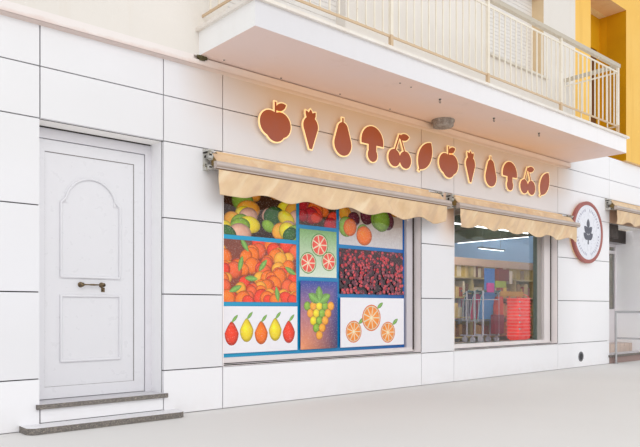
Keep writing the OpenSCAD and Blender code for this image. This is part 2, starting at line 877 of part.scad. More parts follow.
module door_handle() {
    mid = (leaf_x[0] + leaf_x[1]) / 2;
    z = leaf_z[0] + handle_h;
    face_q = leaf_q[1] - leaf_relief;
    bar_out_q = face_q + handle_out;
    base_in = 30;
    base_t = 8;
    color("darkgoldenrod") union() {
        bar_x([mid - handle_l / 2, mid + handle_l / 2], bar_out_q, z, handle_r);
        for (x = [mid - handle_l / 2 + base_in, mid + handle_l / 2 - base_in]) {
            bar_q(x, [face_q, face_q + base_t], z, 3 * handle_r);
            bar_q(x, [face_q, bar_out_q], z, handle_r);
        }
    }
}

// Outline of the grey step seen from above, with round front corners
module low_step_outline(x) {
    straight = low_step_d - low_step_round;
    union() {
        rect([x[0], x[1]], [0, straight]);
        rect(shrunk(x, low_step_round), [straight - 1, low_step_d]);
        for (corner = shrunk(x, low_step_round)) translate([corner, straight]) circle(r = low_step_round);
    }
}

module door_steps() {
    color("dimgray") {
        plan_plate([0, low_step_h])
            low_step_outline([door_x[0] - low_step_left_ear, door_x[1] + low_step_right_ear]);
        union() {
            block(door_x, [masonry_q[0], 0], [lobby_floor_h - landing_t, lobby_floor_h]);
            block([door_x[0] - landing_ear, door_x[1] + landing_ear], [0, landing_out],
                  [lobby_floor_h - landing_t, lobby_floor_h]);
        }
    }
}

// Awnings

// Outline of a valance, from the bar down to its scalloped edge; its first low point is at low_x
module valance_outline(x, low_x) {
    top = bar_z[0];
    n = ceil(12 * (x[1] - x[0]) / scallop_w);
    step = (x[1] - x[0]) / n;
    polygon(concat(
        [[x[1], top], [x[0], top]],
        [for (i = [0:n]) [x[0] + i * step,
            top - valance_h + scallop_d / 2 * (1 - cos(360 * (x[0] + i * step - low_x) / scallop_w))]]));
}

// Span of the cloth on an awning's bar
function cloth_span(bar_span) = [bar_span[0] + cloth_in_left, bar_span[1] - cloth_in_right];

// Cloth from the roller down to the bar, and the valance under the bar
module awning_cloth(bar_span, low_x) {
    x = cloth_span(bar_span);
    back = [bar_q[0] + bar_d / 5 - roller_out, bar_z[1] - roller_z];
    tangent = atan2(back[1], back[0]) + acos(roller_r / norm(back));
    top = [roller_out + roller_r * cos(tangent), roller_z + roller_r * sin(tangent)];
    valance_q = [bar_q[1] - 3 * cloth_t, bar_q[1] - 2 * cloth_t];
    color("burlywood") {
        translate([x[0] - mid_x, face_y, 0]) rotate([90, 0, 90])
            linear_extrude(height = x[1] - x[0]) polygon([
                [-top[0], top[1]], [-bar_q[0] - bar_d / 5, bar_z[1]], [-bar_q[1], bar_z[1]],
                [-bar_q[1], bar_z[1] + cloth_t], [-bar_q[0] - bar_d / 5 - 1, bar_z[1] + cloth_t],
                [-top[0] - cloth_t * cos(tangent), top[1] + cloth_t * sin(tangent)]]);
        front_plate(valance_q) valance_outline(x, low_x);
    }
}

// A bracket: wall plate, cap over the roller, housing around its end, and a foot at the bar
module awning_bracket(x) {
    plate_t = 14;
    cap_z = above(roller_z + roller_r + 8, [0, plate_t]);
    block(x, [0, plate_t], [roller_z - 130, roller_z + 80]);
    block(x, [0, roller_out + roller_r + 12], cap_z);
    block(shrunk(x, plate_t), [0, roller_out + roller_r], [roller_z - 20, cap_z[0]]);
    block(shrunk(x, plate_t / 2), [0, roller_out + roller_r], [bar_z[0] + 6, bar_z[1] - 30]);
}

// Roller, front bar, brackets and the arms folded under the roller
module awning_frame(x) {
    elbow_w = 30;
    end_in = 60;
    elbow = [x[0] + arm_l, x[1] - arm_l];
    cloth_x = shrunk(cloth_span(x), -bracket_gap);
    left = [cloth_x[0] - bracket_w, cloth_x[0]];
    right = [cloth_x[1], cloth_x[1] + bracket_w];
    arm_z = above(bar_z[0] + 20, [0, arm_t]);
    rear_arm_q = above(roller_out - 22, [0, arm_t]);
    front_arm_q = above(rear_arm_q[1] + 18, [0, arm_t]);
    color("gainsboro") union() {
        awning_bracket(left);
        awning_bracket(right);
        bar_x([left[1] - 15, right[0] + 15], roller_out, roller_z, roller_r);
        block(x, bar_q, bar_z);
        block([left[1] - 20, elbow[0] + elbow_w], rear_arm_q, arm_z);
        block([x[0] + end_in, elbow[0] + elbow_w], front_arm_q, arm_z);
        block([x[0] + end_in, x[0] + end_in + 40], [front_arm_q[0], bar_q[0]], arm_z);
        block([elbow[0], elbow[0] + elbow_w], [rear_arm_q[0], front_arm_q[1]], arm_z);
        block([elbow[1] - elbow_w, right[0] + 20], rear_arm_q, arm_z);
        block([elbow[1] - elbow_w, x[1] - end_in], front_arm_q, arm_z);
        block([x[1] - end_in - 40, x[1] - end_in], [front_arm_q[0], bar_q[0]], arm_z);
        block([elbow[1] - elbow_w, elbow[1]], [rear_arm_q[0], front_arm_q[1]], arm_z);
    }
}

module awning_left_cloth() { awning_cloth(awning_1_x, awning_1_x[0] + scallop_1_start); }
module awning_left_frame() { awning_frame(awning_1_x); }
module awning_right_cloth() { awning_cloth(awning_2_x, awning_2_x[0] + scallop_2_start); }
module awning_right_frame() { awning_frame(awning_2_x); }

// The entrance's awning hangs one row of cladding higher
module awning_entrance_cloth() {
    translate([0, 0, sign_row_h]) awning_cloth(awning_3_x, awning_3_x[0] + scallop_2_start);
}

module awning_entrance_frame() {
    translate([0, 0, sign_row_h]) awning_frame(awning_3_x);
}

// Signs: plain fruit and leaf shapes, each drawn about 420 high and then scaled to the sign's height
drawn_h = 420;

// A pointed leaf between two arcs
module lens(l, w) {
    r = (l * l / 4 + w * w / 4) / w;
    intersection() {
        translate([0, r - w / 2]) circle(r = r, $fn = 96);
        translate([0, w / 2 - r]) circle(r = r, $fn = 96);
    }
}

module apple() {
    for (side = [-1, 1]) translate([side * 68, -30]) circle(r = 132);
    translate([0, -82]) circle(r = 130);
    rect([-11, 11], [60, 200]);
    translate([66, 156]) rotate(25) lens(160, 76);
}

module pear() {
    translate([0, -80]) circle(r = 132);
    translate([0, 84]) circle(r = 80);
    polygon([[-128, -48], [-77, 104], [77, 104], [128, -48]]);
    rect([-11, 11], [120, 212]);
}

module carrot() {
    translate([0, 34]) circle(r = 104);
    polygon([[-102, 14], [102, 14], [18, -212], [-18, -212]]);
    for (tilt = [-36, 0, 36]) translate([0, 96]) rotate(90 + tilt) translate([50, 0]) lens(136, 62);
}

module leaf_spray() {
    leaf_l = drawn_h + 10;
    rotate(58) lens(leaf_l, 236);
    rotate(58) rect([-leaf_l / 2 - 20, -leaf_l / 3], [-11, 11]);
}

module mushroom() {
    intersection() {
        translate([0, 20]) circle(r = 184);
        rect([-190, 190], [-12, 205]);
    }
    rect([-64, 64], [-150, 0]);
    translate([0, -132]) circle(r = 80);
}

module cherries() {
    for (side = [0, 1]) mirror([side, 0]) {
        translate([100, -106]) circle(r = 106);
        polygon([[86, -40], [112, -40], [11, 190], [-11, 190]]);
    }
    translate([78, 168]) rotate(10) lens(190, 84);
}

module sign_shape(i) {
    kind = i % 6;
    scale(sign_h / drawn_h) {
        if (kind == 0) apple();
        if (kind == 1) carrot();
        if (kind == 2) pear();
        if (kind == 3) mushroom();
        if (kind == 4) cherries();
        if (kind == 5) leaf_spray();
    }
}

module sign_row(q) {
    for (i = [0:sign_n - 1])
        front_plate(q) translate([sign_x + i * sign_pitch, sign_z + sign_h / 2]) sign_shape(i);
}

module sign_bodies() {
    color("moccasin") sign_row([0, sign_d]);
}

module sign_faces() {
    color("sienna") sign_row([sign_d, sign_d + sign_face_t]);
}

module round_sign() {
    color("mistyrose") difference() {
        bar_q(round_sign_x, [0, round_sign_d + round_rim_out], round_sign_z, round_sign_r, $fn = 96);
        bar_q(round_sign_x, [round_sign_d, round_sign_d + round_rim_out + 1], round_sign_z,
              round_sign_r - round_rim_w, $fn = 96);
    }
}

module vent_sleeve() {
    flange_t = 6;
    color("dimgray") difference() {
        union() {
            bar_q(vent_x, [-panel_t, flange_t], vent_z, vent_r + vent_flange / 2);
            bar_q(vent_x, [0, flange_t], vent_z, vent_r + vent_flange);
        }
        bar_q(vent_x, [-panel_t - 1, flange_t + 1], vent_z, vent_r);
    }
}

module balcony_lamp() {
    rim_z = soffit_z - lamp_h / 3;
    color("lightgray") union() {
        bar_z(lamp_x, lamp_q, [rim_z, soffit_z], lamp_r);
        bar_z(lamp_x, lamp_q, [soffit_z - lamp_h, rim_z], lamp_r * 0.85);
    }
}

// Shop entrance

module entrance_screen() {
    q = [-entrance_recess - screen_d, -entrance_recess];
    z = [shop_floor_h, shop_head];
    mid = (entrance_x[0] + entrance_x[1]) / 2;
    color("white") union() {
        ring_plate(q, entrance_x, z, screen_post, shutter_box_h + screen_post, 0.5);
        block([mid - screen_post / 2, mid + screen_post / 2], q, z);
        block(entrance_x, q, above(shop_floor_h + screen_transom_h, [0, screen_post]));
        block(entrance_x, [q[0] + 10, q[1] - 10], [shop_floor_h, shop_floor_h + screen_solid_h]);
        block(entrance_x, [q[0], q[1] + shutter_box_out], [shop_head - shutter_box_h, shop_head]);
    }
}

module entrance_glass() {
    q = [-entrance_recess - screen_d / 2 - glass_t / 2, -entrance_recess - screen_d / 2 + glass_t / 2];
    mid = (entrance_x[0] + entrance_x[1]) / 2;
    color("lightblue")
        for (x = [[entrance_x[0] + screen_post, mid - screen_post / 2],
                  [mid + screen_post / 2, entrance_x[1] - screen_post]]) {
            block(x, q, above(shop_floor_h, [screen_solid_h, screen_transom_h]));
            block(x, q, [shop_floor_h + screen_transom_h + screen_post,
                         shop_head - shutter_box_h - screen_post]);
        }
}

module entrance_steps() {
    step_h = shop_floor_h / 2;
    color("dimgray") {
        block(entrance_x, [masonry_q[0], 0], [0, step_h - landing_t]);
        union() {
            block(entrance_x, [masonry_q[0], 0], [step_h - landing_t, step_h]);
            block(shrunk(entrance_x, -landing_ear), [0, landing_out], [step_h - landing_t, step_h]);
        }
    }
}

// A hoop of tube that stands on the pavement and is fixed to the landing's edge
module entrance_handrail() {
    x = entrance_x[0] + handrail_in;
    q = above(handrail_out, [0, handrail_l]);
    foot_t = 8;
    color("silver") union() {
        for (post = q) {
            bar_z(x, post, [0, tube_h], tube_r);
            bar_z(x, post, [0, foot_t], 2 * tube_r);
            translate([x - mid_x, face_y - post, tube_h]) sphere(r = tube_r);
        }
        bar_q(x, q, tube_h, tube_r);
        bar_q(x, q, middle_rail_h, tube_r * 0.7);
        block([x - tube_r * 0.7, x + tube_r * 0.7], [landing_out, handrail_out],
              shrunk([shop_floor_h / 2 - landing_t, shop_floor_h / 2], foot_t));
    }
}

// Balcony

module balcony_slab() {
    color("whitesmoke") block(balcony_span, [masonry_q[0], balcony_d], [soffit_z, soffit_z + balcony_slab_t]);
}

module balcony_nosing() {
    color("wheat") block([balcony_span[0] - nosing_out, balcony_span[1] + nosing_out],
                         [upper_out, balcony_d + nosing_out], [upper_floor_z - nosing_t, upper_floor_z]);
}

// Rails and balusters along one side, drawn flat: x along the side, y upwards
module railing_side(l, bays, post_at_start, post_at_end) {
    low = upper_floor_z + lower_rail_h;
    second = railing_z - second_rail_drop;
    n = floor(l / baluster_pitch);
    step = l / n;
    rect([0, l], [low, low + rail_t]);
    rect([0, l], [second - rail_t, second]);
    for (i = [1:n - 1])
        rect([i * step - baluster_w / 2, i * step + baluster_w / 2], [low, second]);
    for (i = [post_at_start ? 0 : 1 : post_at_end ? bays : bays - 1])
        rect([i * l / bays - post_w / 2, i * l / bays + post_w / 2], [upper_floor_z, railing_z - handrail_t]);
}

module railing_front() {
    l = railing_x[1] - railing_x[0];
    color("ivory") union() {
        front_plate([railing_q - baluster_w / 2, railing_q + baluster_w / 2])
            translate([railing_x[0], 0]) railing_side(l, railing_bays, true, true);
        block([railing_x[0] - handrail_w / 2, railing_x[1] + handrail_w / 2],
              [railing_q - handrail_w / 2, railing_q + handrail_w / 2], [railing_z - handrail_t, railing_z]);
        for (i = [0:railing_bays]) {
            x = railing_x[0] + i * railing_bay;
            block([x - post_w / 2, x + post_w / 2], [railing_q - post_w / 2, railing_q + post_w / 2],
                  [upper_floor_z, railing_z - handrail_t]);
            block([x - foot_w / 2, x + foot_w / 2], [railing_q - foot_w / 2, railing_q + foot_w / 2],
                  [upper_floor_z, upper_floor_z + foot_h]);
        }
    }
}

module railing_return(x) {
    q = [upper_out, railing_q - handrail_w / 2];
    l = railing_q - post_w / 2 - q[0];
    color("ivory") union() {
        translate([x + baluster_w / 2 - mid_x, face_y - q[0], 0]) rotate([90, 0, -90])
            linear_extrude(height = baluster_w) railing_side(l, 1, false, false);
        block([x - handrail_w / 2, x + handrail_w / 2], q, [railing_z - handrail_t, railing_z]);
    }
}

module railing_returns() {
    for (x = railing_x) railing_return(x);
}

// Upper openings

// A shutter curtain of slats with a groove at every joint
module shutter(x, q, z) {
    color("aliceblue") difference() {
        block(x, q, z);
        for (y = [z[0] + slat_h : slat_h : z[1] - slat_groove])
            block([x[0] - 1, x[1] + 1], [q[1] - slat_groove, q[1] + 1],
                  [y - slat_groove / 2, y + slat_groove / 2]);
    }
}

module front_shutters() {
    door_q = upper_out - balcony_shutter_recess;
    window_q = upper_out - window_shutter_recess;
    shutter([balcony_door_x, balcony_door_x + balcony_door_w], [door_q - shutter_t, door_q],
            [upper_floor_z, upper_head_z]);
    shutter([upper_window_x, upper_window_x + upper_window_w], [window_q - shutter_t, window_q],
            [upper_sill_z + sill_t, upper_head_z]);
}

module rear_shutters() {
    q = [rear_q[0] + rear_recess, rear_q[0] + rear_recess + shutter_t];
    color("aliceblue") {
        for (bay = rear_upper_bays) block(rear_window_span(bay), q, [upper_sill_z + sill_t, upper_head_z]);
        for (bay = rear_lower_bays)
            block(rear_window_span(bay), q, [rear_lower_sill_z + sill_t, shop_head]);
    }
}

module window_sills() {
    color("whitesmoke") {
        front_x = [upper_window_x, upper_window_x + upper_window_w];
        front_z = [upper_sill_z, upper_sill_z + sill_t];
        union() {
            block(front_x, [upper_wall_q[0], upper_out], front_z);
            block(shrunk(front_x, -sill_ear), [upper_out, upper_out + sill_out], front_z);
        }
        for (bay = rear_upper_bays) rear_sill(rear_window_span(bay), upper_sill_z);
        for (bay = rear_lower_bays) rear_sill(rear_window_span(bay), rear_lower_sill_z);
    }
}

module rear_sill(x, z) {
    union() {
        block(x, rear_q, [z, z + sill_t]);
        block(shrunk(x, -sill_ear), [rear_q[0] - min(sill_out, coping_out), rear_q[0]], [z, z + sill_t]);
    }
}

module rear_door() {
    q = [rear_q[0] + rear_door_recess, rear_q[0] + rear_door_recess + rear_door_t];
    foot = rear_frame_w / 6;
    color("lightgray") union() {
        ring_plate(q, rear_door_x, rear_door_z, rear_frame_w, rear_frame_w, foot);
        block(shrunk(rear_door_x, rear_frame_w), shrunk(q, rear_door_t / 5),
              [rear_door_z[0] + foot, rear_door_z[1] - rear_frame_w]);
    }
}

// Inside the shop

module ceiling_lights() {
    light_q = [-indoor_in - light_l, -indoor_in];
    light_z = above(shop_head + light_up, [0, light_h]);
    mid = (window_2_x[0] + window_2_x[1]) / 2;
    color("white") for (i = [0:light_n - 1]) {
        x = mid + i * light_pitch;
        union() {
            block([x - light_w / 2, x + light_w / 2], light_q, light_z);
            for (q = shrunk(light_q, light_l / 8)) bar_z(x, q, [light_z[1], soffit_z], 6);
        }
    }
}

trolley_x = [window_2_x[1] + trolley_out, window_2_x[1] + trolley_out + trolley_w];

// A bar along the outward direction with a square section, standing on a level
module rail_q(x, q, z, t) {
    block([x - t / 2, x + t / 2], q, [z, z + t]);
}

// A trolley: base, upright and basket of square bars, with its handle at q
module trolley(q) {
    base_z = shop_floor_h + 2 * wheel_r + 10;
    low_z = shop_floor_h + trolley_low;
    high_z = shop_floor_h + trolley_high;
    tube = 24;
    rim = 16;
    wire = 8;
    for (side = trolley_x) {
        rail_q(side, [q - trolley_l, q], base_z, tube);
        rail_q(side, [q - trolley_l - wheel_r, q], high_z, rim);
        rail_q(side, [q - trolley_l, q], low_z, rim);
        block([side - tube / 2, side + tube / 2], [q - tube, q], [base_z, shop_floor_h + trolley_h]);
        for (wheel = [q - trolley_l + wheel_r, q - wheel_r]) {
            bar_x([side - tube / 2, side + tube / 2], wheel, shop_floor_h + wheel_r, wheel_r);
            block([side - rim / 2, side + rim / 2], [wheel - rim, wheel + rim],
                  [shop_floor_h + wheel_r, base_z + wire]);
        }
        for (i = [1:5])
            block([side - wire / 2, side + wire / 2], [q - i * trolley_l / 6 - wire, q - i * trolley_l / 6],
                  [low_z + rim / 2, high_z + rim / 2]);
    }
    bar_x([trolley_x[0] - tube, trolley_x[1] + tube], q - tube / 2, shop_floor_h + trolley_h, rim);
    for (z = [base_z, low_z, high_z])
        block(trolley_x, [q - trolley_l - rim / 2, q - trolley_l + rim / 2], [z, z + rim]);
    block(trolley_x, [q - rim, q], [high_z, high_z + rim]);
}

module trolley_row() {
    color("silver") union() for (i = [0:trolley_n - 1]) trolley(-indoor_in - i * trolley_pitch);
}

module basket_stack() {
    rim_w = 20;
    rim_t = 25;
    lowest_rim = 180;
    x = [trolley_x[1] + basket_out, trolley_x[1] + basket_out + basket_w];
    q = [-indoor_in - basket_d, -indoor_in];
    color("crimson") union() {
        for (i = [0:basket_n - 1])
            block(x, q, above(shop_floor_h + lowest_rim + i * basket_pitch, [0, rim_t]));
        block(shrunk(x, rim_w), shrunk(q, rim_w),
              above(shop_floor_h, [0, lowest_rim + (basket_n - 1) * basket_pitch + rim_t / 2]));
    }
}

shop_floor();
lobby_floor();
party_wall_left();
party_wall_right();
rear_wall();
front_piers();
sill_walls();
front_lintel();
cladding_base_row();
cladding_tall_rows();
cladding_top_rows();
window_linings();
door_frame();
door_leaf();
door_handle();
door_steps();
window_frames();
window_glass();
window_film();
awning_left_cloth();
awning_left_frame();
awning_right_cloth();
awning_right_frame();
awning_entrance_cloth();
awning_entrance_frame();
sign_bodies();
sign_faces();
round_sign();
vent_sleeve();
balcony_lamp();
entrance_screen();
entrance_glass();
entrance_steps();
entrance_handrail();
balcony_slab();
balcony_nosing();
railing_front();
railing_returns();
upper_front_wall();
string_course();
wing_wall();
loggia_walls();
loggia_door();
upper_floor_slab();
roof_slab();
roof_coping();
front_shutters();
rear_shutters();
window_sills();
rear_door();
ceiling_lights();
trolley_row();
basket_stack();
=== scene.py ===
# %% [markdown]
# # A small supermarket building
# The part is a two-storey town building: a clad shop front with two big windows under awnings, a white
# street door, a lit sign made of fruit and leaf shapes, and a balcony over it. Its exact solids come from
# the construction. This lesson gives them their finishes and adds what only a mesh can show well, such as
# cloth, printed film, fittings and goods behind the glass. The solids stay where they are, so every later
# piece is placed by measuring them.

# %% Load the construction
import math
import random

import bmesh
import bpy
from mathutils import Matrix, Vector, noise


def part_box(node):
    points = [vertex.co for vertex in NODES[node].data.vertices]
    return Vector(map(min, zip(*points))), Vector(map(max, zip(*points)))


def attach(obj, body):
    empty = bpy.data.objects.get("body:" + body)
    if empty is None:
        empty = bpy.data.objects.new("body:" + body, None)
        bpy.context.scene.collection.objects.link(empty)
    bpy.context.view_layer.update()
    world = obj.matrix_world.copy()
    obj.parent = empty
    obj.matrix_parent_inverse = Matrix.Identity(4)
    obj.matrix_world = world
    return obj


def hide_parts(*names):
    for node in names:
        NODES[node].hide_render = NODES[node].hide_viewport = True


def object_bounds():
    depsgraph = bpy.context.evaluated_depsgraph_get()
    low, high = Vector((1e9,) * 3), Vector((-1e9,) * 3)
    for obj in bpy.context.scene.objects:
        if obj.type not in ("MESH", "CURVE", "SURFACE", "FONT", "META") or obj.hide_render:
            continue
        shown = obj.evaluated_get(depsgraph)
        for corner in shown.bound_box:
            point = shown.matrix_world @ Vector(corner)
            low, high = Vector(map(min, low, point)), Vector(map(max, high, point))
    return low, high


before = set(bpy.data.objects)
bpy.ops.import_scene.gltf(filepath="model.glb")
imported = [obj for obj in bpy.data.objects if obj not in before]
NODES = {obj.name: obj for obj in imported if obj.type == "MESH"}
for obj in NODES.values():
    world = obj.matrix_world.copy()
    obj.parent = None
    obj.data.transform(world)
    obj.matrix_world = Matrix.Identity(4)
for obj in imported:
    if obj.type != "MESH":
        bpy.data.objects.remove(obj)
cad_low, cad_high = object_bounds()
BUILDING, DOOR = "building", "street_door"
FACE_Y, LEFT_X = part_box("cladding_tall_rows")[0].y, cad_low[0]
print(len(NODES), "nodes, cladding face at y", round(FACE_Y, 3))

# %% [markdown]
# ## Measuring like a builder
# A builder of this front would measure along the wall, out from the cladding and up from the pavement.
# Thinking that way is easier than in world coordinates, so one small function turns such a measure into a
# point. All numbers below are metres.

# %% A point from builder's measures
def spot(along, out, up):
    """A point: metres along the front from the left end, out from the cladding, and up."""
    return Vector((LEFT_X + along, FACE_Y - out, up))


def circle(sides):
    """Angles all the way round."""
    return [2 * math.pi * k / sides for k in range(sides)]


SHOP_HEAD = 2.51
SOFFIT_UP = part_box("balcony_slab")[0].z
print("underside of the balcony at", round(SOFFIT_UP, 3))

# %% [markdown]
# ## The camera
# The photographer stood on the pavement to the left, with the lens level at about chest height. A level
# camera keeps the building's corners upright; the picture is then slid upwards, as a shift lens does, so
# that the front fills the frame. The pose was found from the two sets of parallel lines of the cladding.

# %% Place the camera
camera = bpy.data.objects.new("Camera", bpy.data.cameras.new("Camera"))
bpy.context.scene.collection.objects.link(camera)
camera.location = (-7.6275, -9.5597, 0.973)
camera.rotation_euler = (math.radians(90), 0, math.radians(-41.43))
camera.data.sensor_width, camera.data.lens, camera.data.clip_end = 36, 37.74, 200
camera.data.shift_x, camera.data.shift_y = 0.0008, 0.1336
bpy.context.scene.camera = camera
print("lens", camera.data.lens, "mm")

# %% [markdown]
# ## Light
# White walls show every lamp that is too strong, so the light is soft and plain: a bright even sky, and
# one very large pale lamp from the street side that gives the balcony and the awnings a soft shadow. The
# camera, mirrors and glass see a white background through the sky's own switch, which adds no light.

# %% An even sky and one large lamp
def sky(strength, tint, backdrop):
    """An even sky whose light and whose look behind the object are set apart."""
    world = bpy.data.worlds.new("Sky")
    bpy.context.scene.world = world
    world.use_nodes = True
    tree = world.node_tree
    light, plain = tree.nodes["Background"], tree.nodes.new("ShaderNodeBackground")
    light.inputs["Color"].default_value, light.inputs["Strength"].default_value = tint, strength
    plain.inputs["Color"].default_value, plain.inputs["Strength"].default_value = backdrop, 1.0
    rays, both = tree.nodes.new("ShaderNodeLightPath"), tree.nodes.new("ShaderNodeMixShader")
    seen = rays.outputs["Is Camera Ray"]
    for kind in ("Is Glossy Ray", "Is Transmission Ray"):
        either = tree.nodes.new("ShaderNodeMath")
        either.operation = "MAXIMUM"
        tree.links.new(seen, either.inputs[0])
        tree.links.new(rays.outputs[kind], either.inputs[1])
        seen = either.outputs[0]
    outputs = (seen, light.outputs[0], plain.outputs[0], both.outputs[0])
    for output, socket in zip(outputs, (*both.inputs, tree.nodes["World Output"].inputs["Surface"])):
        tree.links.new(output, socket)


sky(0.86, (0.96, 0.98, 1.0, 1), (0.98, 0.98, 0.98, 1))
lamp = bpy.data.objects.new("Street lamp", bpy.data.lights.new("Street lamp", "AREA"))
bpy.context.scene.collection.objects.link(lamp)
lamp.data.shape, lamp.data.size, lamp.data.size_y = "RECTANGLE", 16, 9
lamp.data.energy, lamp.data.color = 900, (1.0, 0.985, 0.96)
lamp.location = (-6, -19, 9)
lamp.rotation_euler = (Vector((1.0, -4, 2.2)) - lamp.location).to_track_quat("-Z", "Y").to_euler()
bpy.context.scene.view_settings.view_transform = "Standard"
print("one lamp and an even sky")

# %% [markdown]
# ## A small kit for finishes
# Real surfaces are never one flat colour. Each finish here starts from the principled shader and gets its
# variation from noise in the object's own coordinates, so the grain has its true size on every piece.
# Colours are triples on a 0-255 scale.

# %% Colours
def paint(colour):
    """A triple on a 0-255 scale as the linear values that a shader wants; anything else stays as it is."""
    if not isinstance(colour, tuple) or len(colour) > 3:
        return colour
    parts = [part / 255 for part in colour]
    linear = [part / 12.92 if part <= 0.04045 else ((part + 0.055) / 1.055) ** 2.4 for part in parts]
    return (*linear, 1.0)


def tone(colour, share):
    """The same colour a little lighter or darker."""
    return (*(min(1.0, part * share) for part in paint(colour)[:3]), 1.0)


print("a middle grey is", [round(part, 3) for part in paint((128, 128, 128))])

# %% The finish kit
class Finish:
    """A material under construction: its shader, its nodes and the piece's own coordinates."""

    def __init__(self, name, rough=0.5, **fixed):
        self.material = bpy.data.materials.new(name)
        self.material.use_nodes = True
        self.tree = self.material.node_tree
        self.shader = self.tree.nodes["Principled BSDF"]
        for key, value in dict(fixed, Roughness=rough).items():
            self.shader.inputs[key.replace("_", " ")].default_value = value
        self.place = self.node("TexCoord").outputs["Object"]

    def node(self, kind, settings=(), **wires):
        """Adds a node; each wire is a value or another node's output."""
        made = self.tree.nodes.new("ShaderNode" + kind)
        for key, value in dict(settings).items():
            setattr(made, key, value)
        for key, value in wires.items():
            socket = made.inputs[int(key[1:]) if key[1:].isdigit() else key.replace("_", " ")]
            if isinstance(value, bpy.types.NodeSocket):
                self.tree.links.new(value, socket)
            else:
                socket.default_value = value
        return made

    def cloud(self, scale, detail=4.0, rough=0.55, stretch=None):
        """Soft noise from 0 to 1; scale is blobs per metre, less along a stretched axis."""
        where = self.node("Mapping", Vector=self.place, Scale=stretch).outputs[0] if stretch else self.place
        return self.node("TexNoise", Vector=where, Scale=scale, Detail=detail, Roughness=rough).outputs["Fac"]

    def tiles(self, first, second, joint, width, tall, gap):
        """Tiles in straight rows: their colour, and 1 in the joints."""
        return self.node("TexBrick", {"offset": 0.0, "squash": 1.0}, Vector=self.place, Color1=paint(first),
                         Color2=paint(second), Mortar=paint(joint), Scale=1.0, Mortar_Size=gap,
                         Brick_Width=width, Row_Height=tall, Bias=0.0).outputs

    def part(self, axis, where=None):
        """One coordinate, 'X', 'Y' or 'Z'."""
        return self.node("SeparateXYZ", Vector=where or self.place).outputs[axis]

    def band(self, value, low=0.3, high=0.7, start=0.0, end=1.0):
        """Maps low..high to start..end and clips outside."""
        return self.node("MapRange", Value=value, From_Min=low, From_Max=high,
                         To_Min=start, To_Max=end).outputs["Result"]

    def spread(self, value, start, end):
        """Soft noise mapped to start..end."""
        return self.band(value, start=start, end=end)

    def reach(self, axis, low, high, start=0.0, end=1.0):
        """Goes from start to end between two places along an axis."""
        return self.band(self.part(axis), low, high, start, end)

    def facing(self, axis, low, high):
        """0 where the surface's direction along an axis is at low, 1 where it is at high."""
        return self.band(self.part(axis, self.node("NewGeometry").outputs["Normal"]), low, high)

    def sum(self, *values, how="ADD"):
        """Adds values or outputs, or joins them by another way of reckoning."""
        total = values[0]
        for value in values[1:]:
            total = self.node("Math", {"operation": how}, i0=total, i1=value).outputs[0]
        return total

    def product(self, *values):
        return self.sum(*values, how="MULTIPLY")

    def blend(self, share, first, second, how="MIX"):
        """Goes from the first colour to the second as share goes from 0 to 1."""
        return self.node("Mix", {"data_type": "RGBA", "blend_type": how}, i0=share, i6=paint(first),
                         i7=paint(second)).outputs[2]

    def mottle(self, first, second, scale, detail):
        """Cloudy paint between two colours."""
        return self.blend(self.band(self.cloud(scale, detail)), first, second)

    def glow(self, output):
        self.tree.links.new(output, self.shader.inputs["Emission Color"])

    def done(self, colour, gloss, *relief):
        """Wires colour, roughness and bumps: pairs of a height and how many metres it stands for."""
        wires = {"Base Color": colour, "Roughness": gloss}
        for height, metres in relief:
            under = {"Normal": wires["Normal"]} if "Normal" in wires else {}
            bump = self.node("Bump", Height=height, Distance=metres, Strength=1.0, **under)
            wires["Normal"] = bump.outputs[0]
        for socket, output in wires.items():
            if output:
                self.tree.links.new(output, self.shader.inputs[socket])
        return self.material


print("finish kit ready")

# %% [markdown]
# ## Paints, lacquers and plasters
# Three recipes cover most of a building. A lacquer is smooth with a faint orange peel. A plaster is matt,
# has a sandy grain and soft stains. A grained finish lets one noise set its colour and its gloss, as on
# wood, brass or moss. The panels of the cladding are satin sheets that wave very slightly, are dusty near
# the pavement and have faint rain streaks, so they have a recipe of their own.

# %% Recipes for smooth, sandy and grained surfaces
def lacquer(name, colour, rough=0.32, vary=0.04):
    """Smooth paint on metal, wood or plastic, with a faint orange peel and smudges."""
    made = Finish(name, rough)
    fine = made.cloud(14, 5)
    shade = made.mottle(tone(colour, 1 - vary), tone(colour, 1 + vary), 1.3, 3)
    return made.done(made.blend(made.band(fine, 0.45, 0.8, 0, 0.05), shade, tone(colour, 0.86)),
                     made.spread(fine, rough * 0.85, rough * 1.2),
                     (made.cloud(420, 2), 0.00004), (made.cloud(3.1, 2), 0.0006))


def plaster(name, colour, stain, grain=0.0011, streaks=0.25):
    """Painted render: a sandy grain, cloudy colour and rain streaks."""
    made = Finish(name, 0.88, Specular_IOR_Level=0.25)
    cloudy = made.blend(made.band(made.cloud(0.9, 6), 0.3, 0.72), tone(colour, 0.95), tone(colour, 1.05))
    run = made.cloud(1.0, 6, 0.6, stretch=(5.5, 5.5, 0.5))
    soiled = made.blend(made.band(run, 0.56, 0.82, 0, streaks), cloudy, stain)
    fine = made.band(made.cloud(130, 3), 0.4, 0.75, 0, 0.10)
    return made.done(made.blend(fine, soiled, tone(colour, 0.82)), made.spread(run, 0.82, 0.96),
                     (made.cloud(150, 4, 0.65), grain), (made.cloud(9, 4), 0.0035))


def grained(name, first, second, noise_is, gloss, bump, span=(0.3, 0.7), bump_is=None, **fixed):
    """One noise sets colour and gloss; the bump follows it, or a noise of its own."""
    made = Finish(name, **fixed)
    grain = made.cloud(*noise_is)
    height = made.cloud(*bump_is) if bump_is else grain
    return made.done(made.blend(made.band(grain, *span), first, second), made.spread(grain, *gloss),
                     (height, bump))


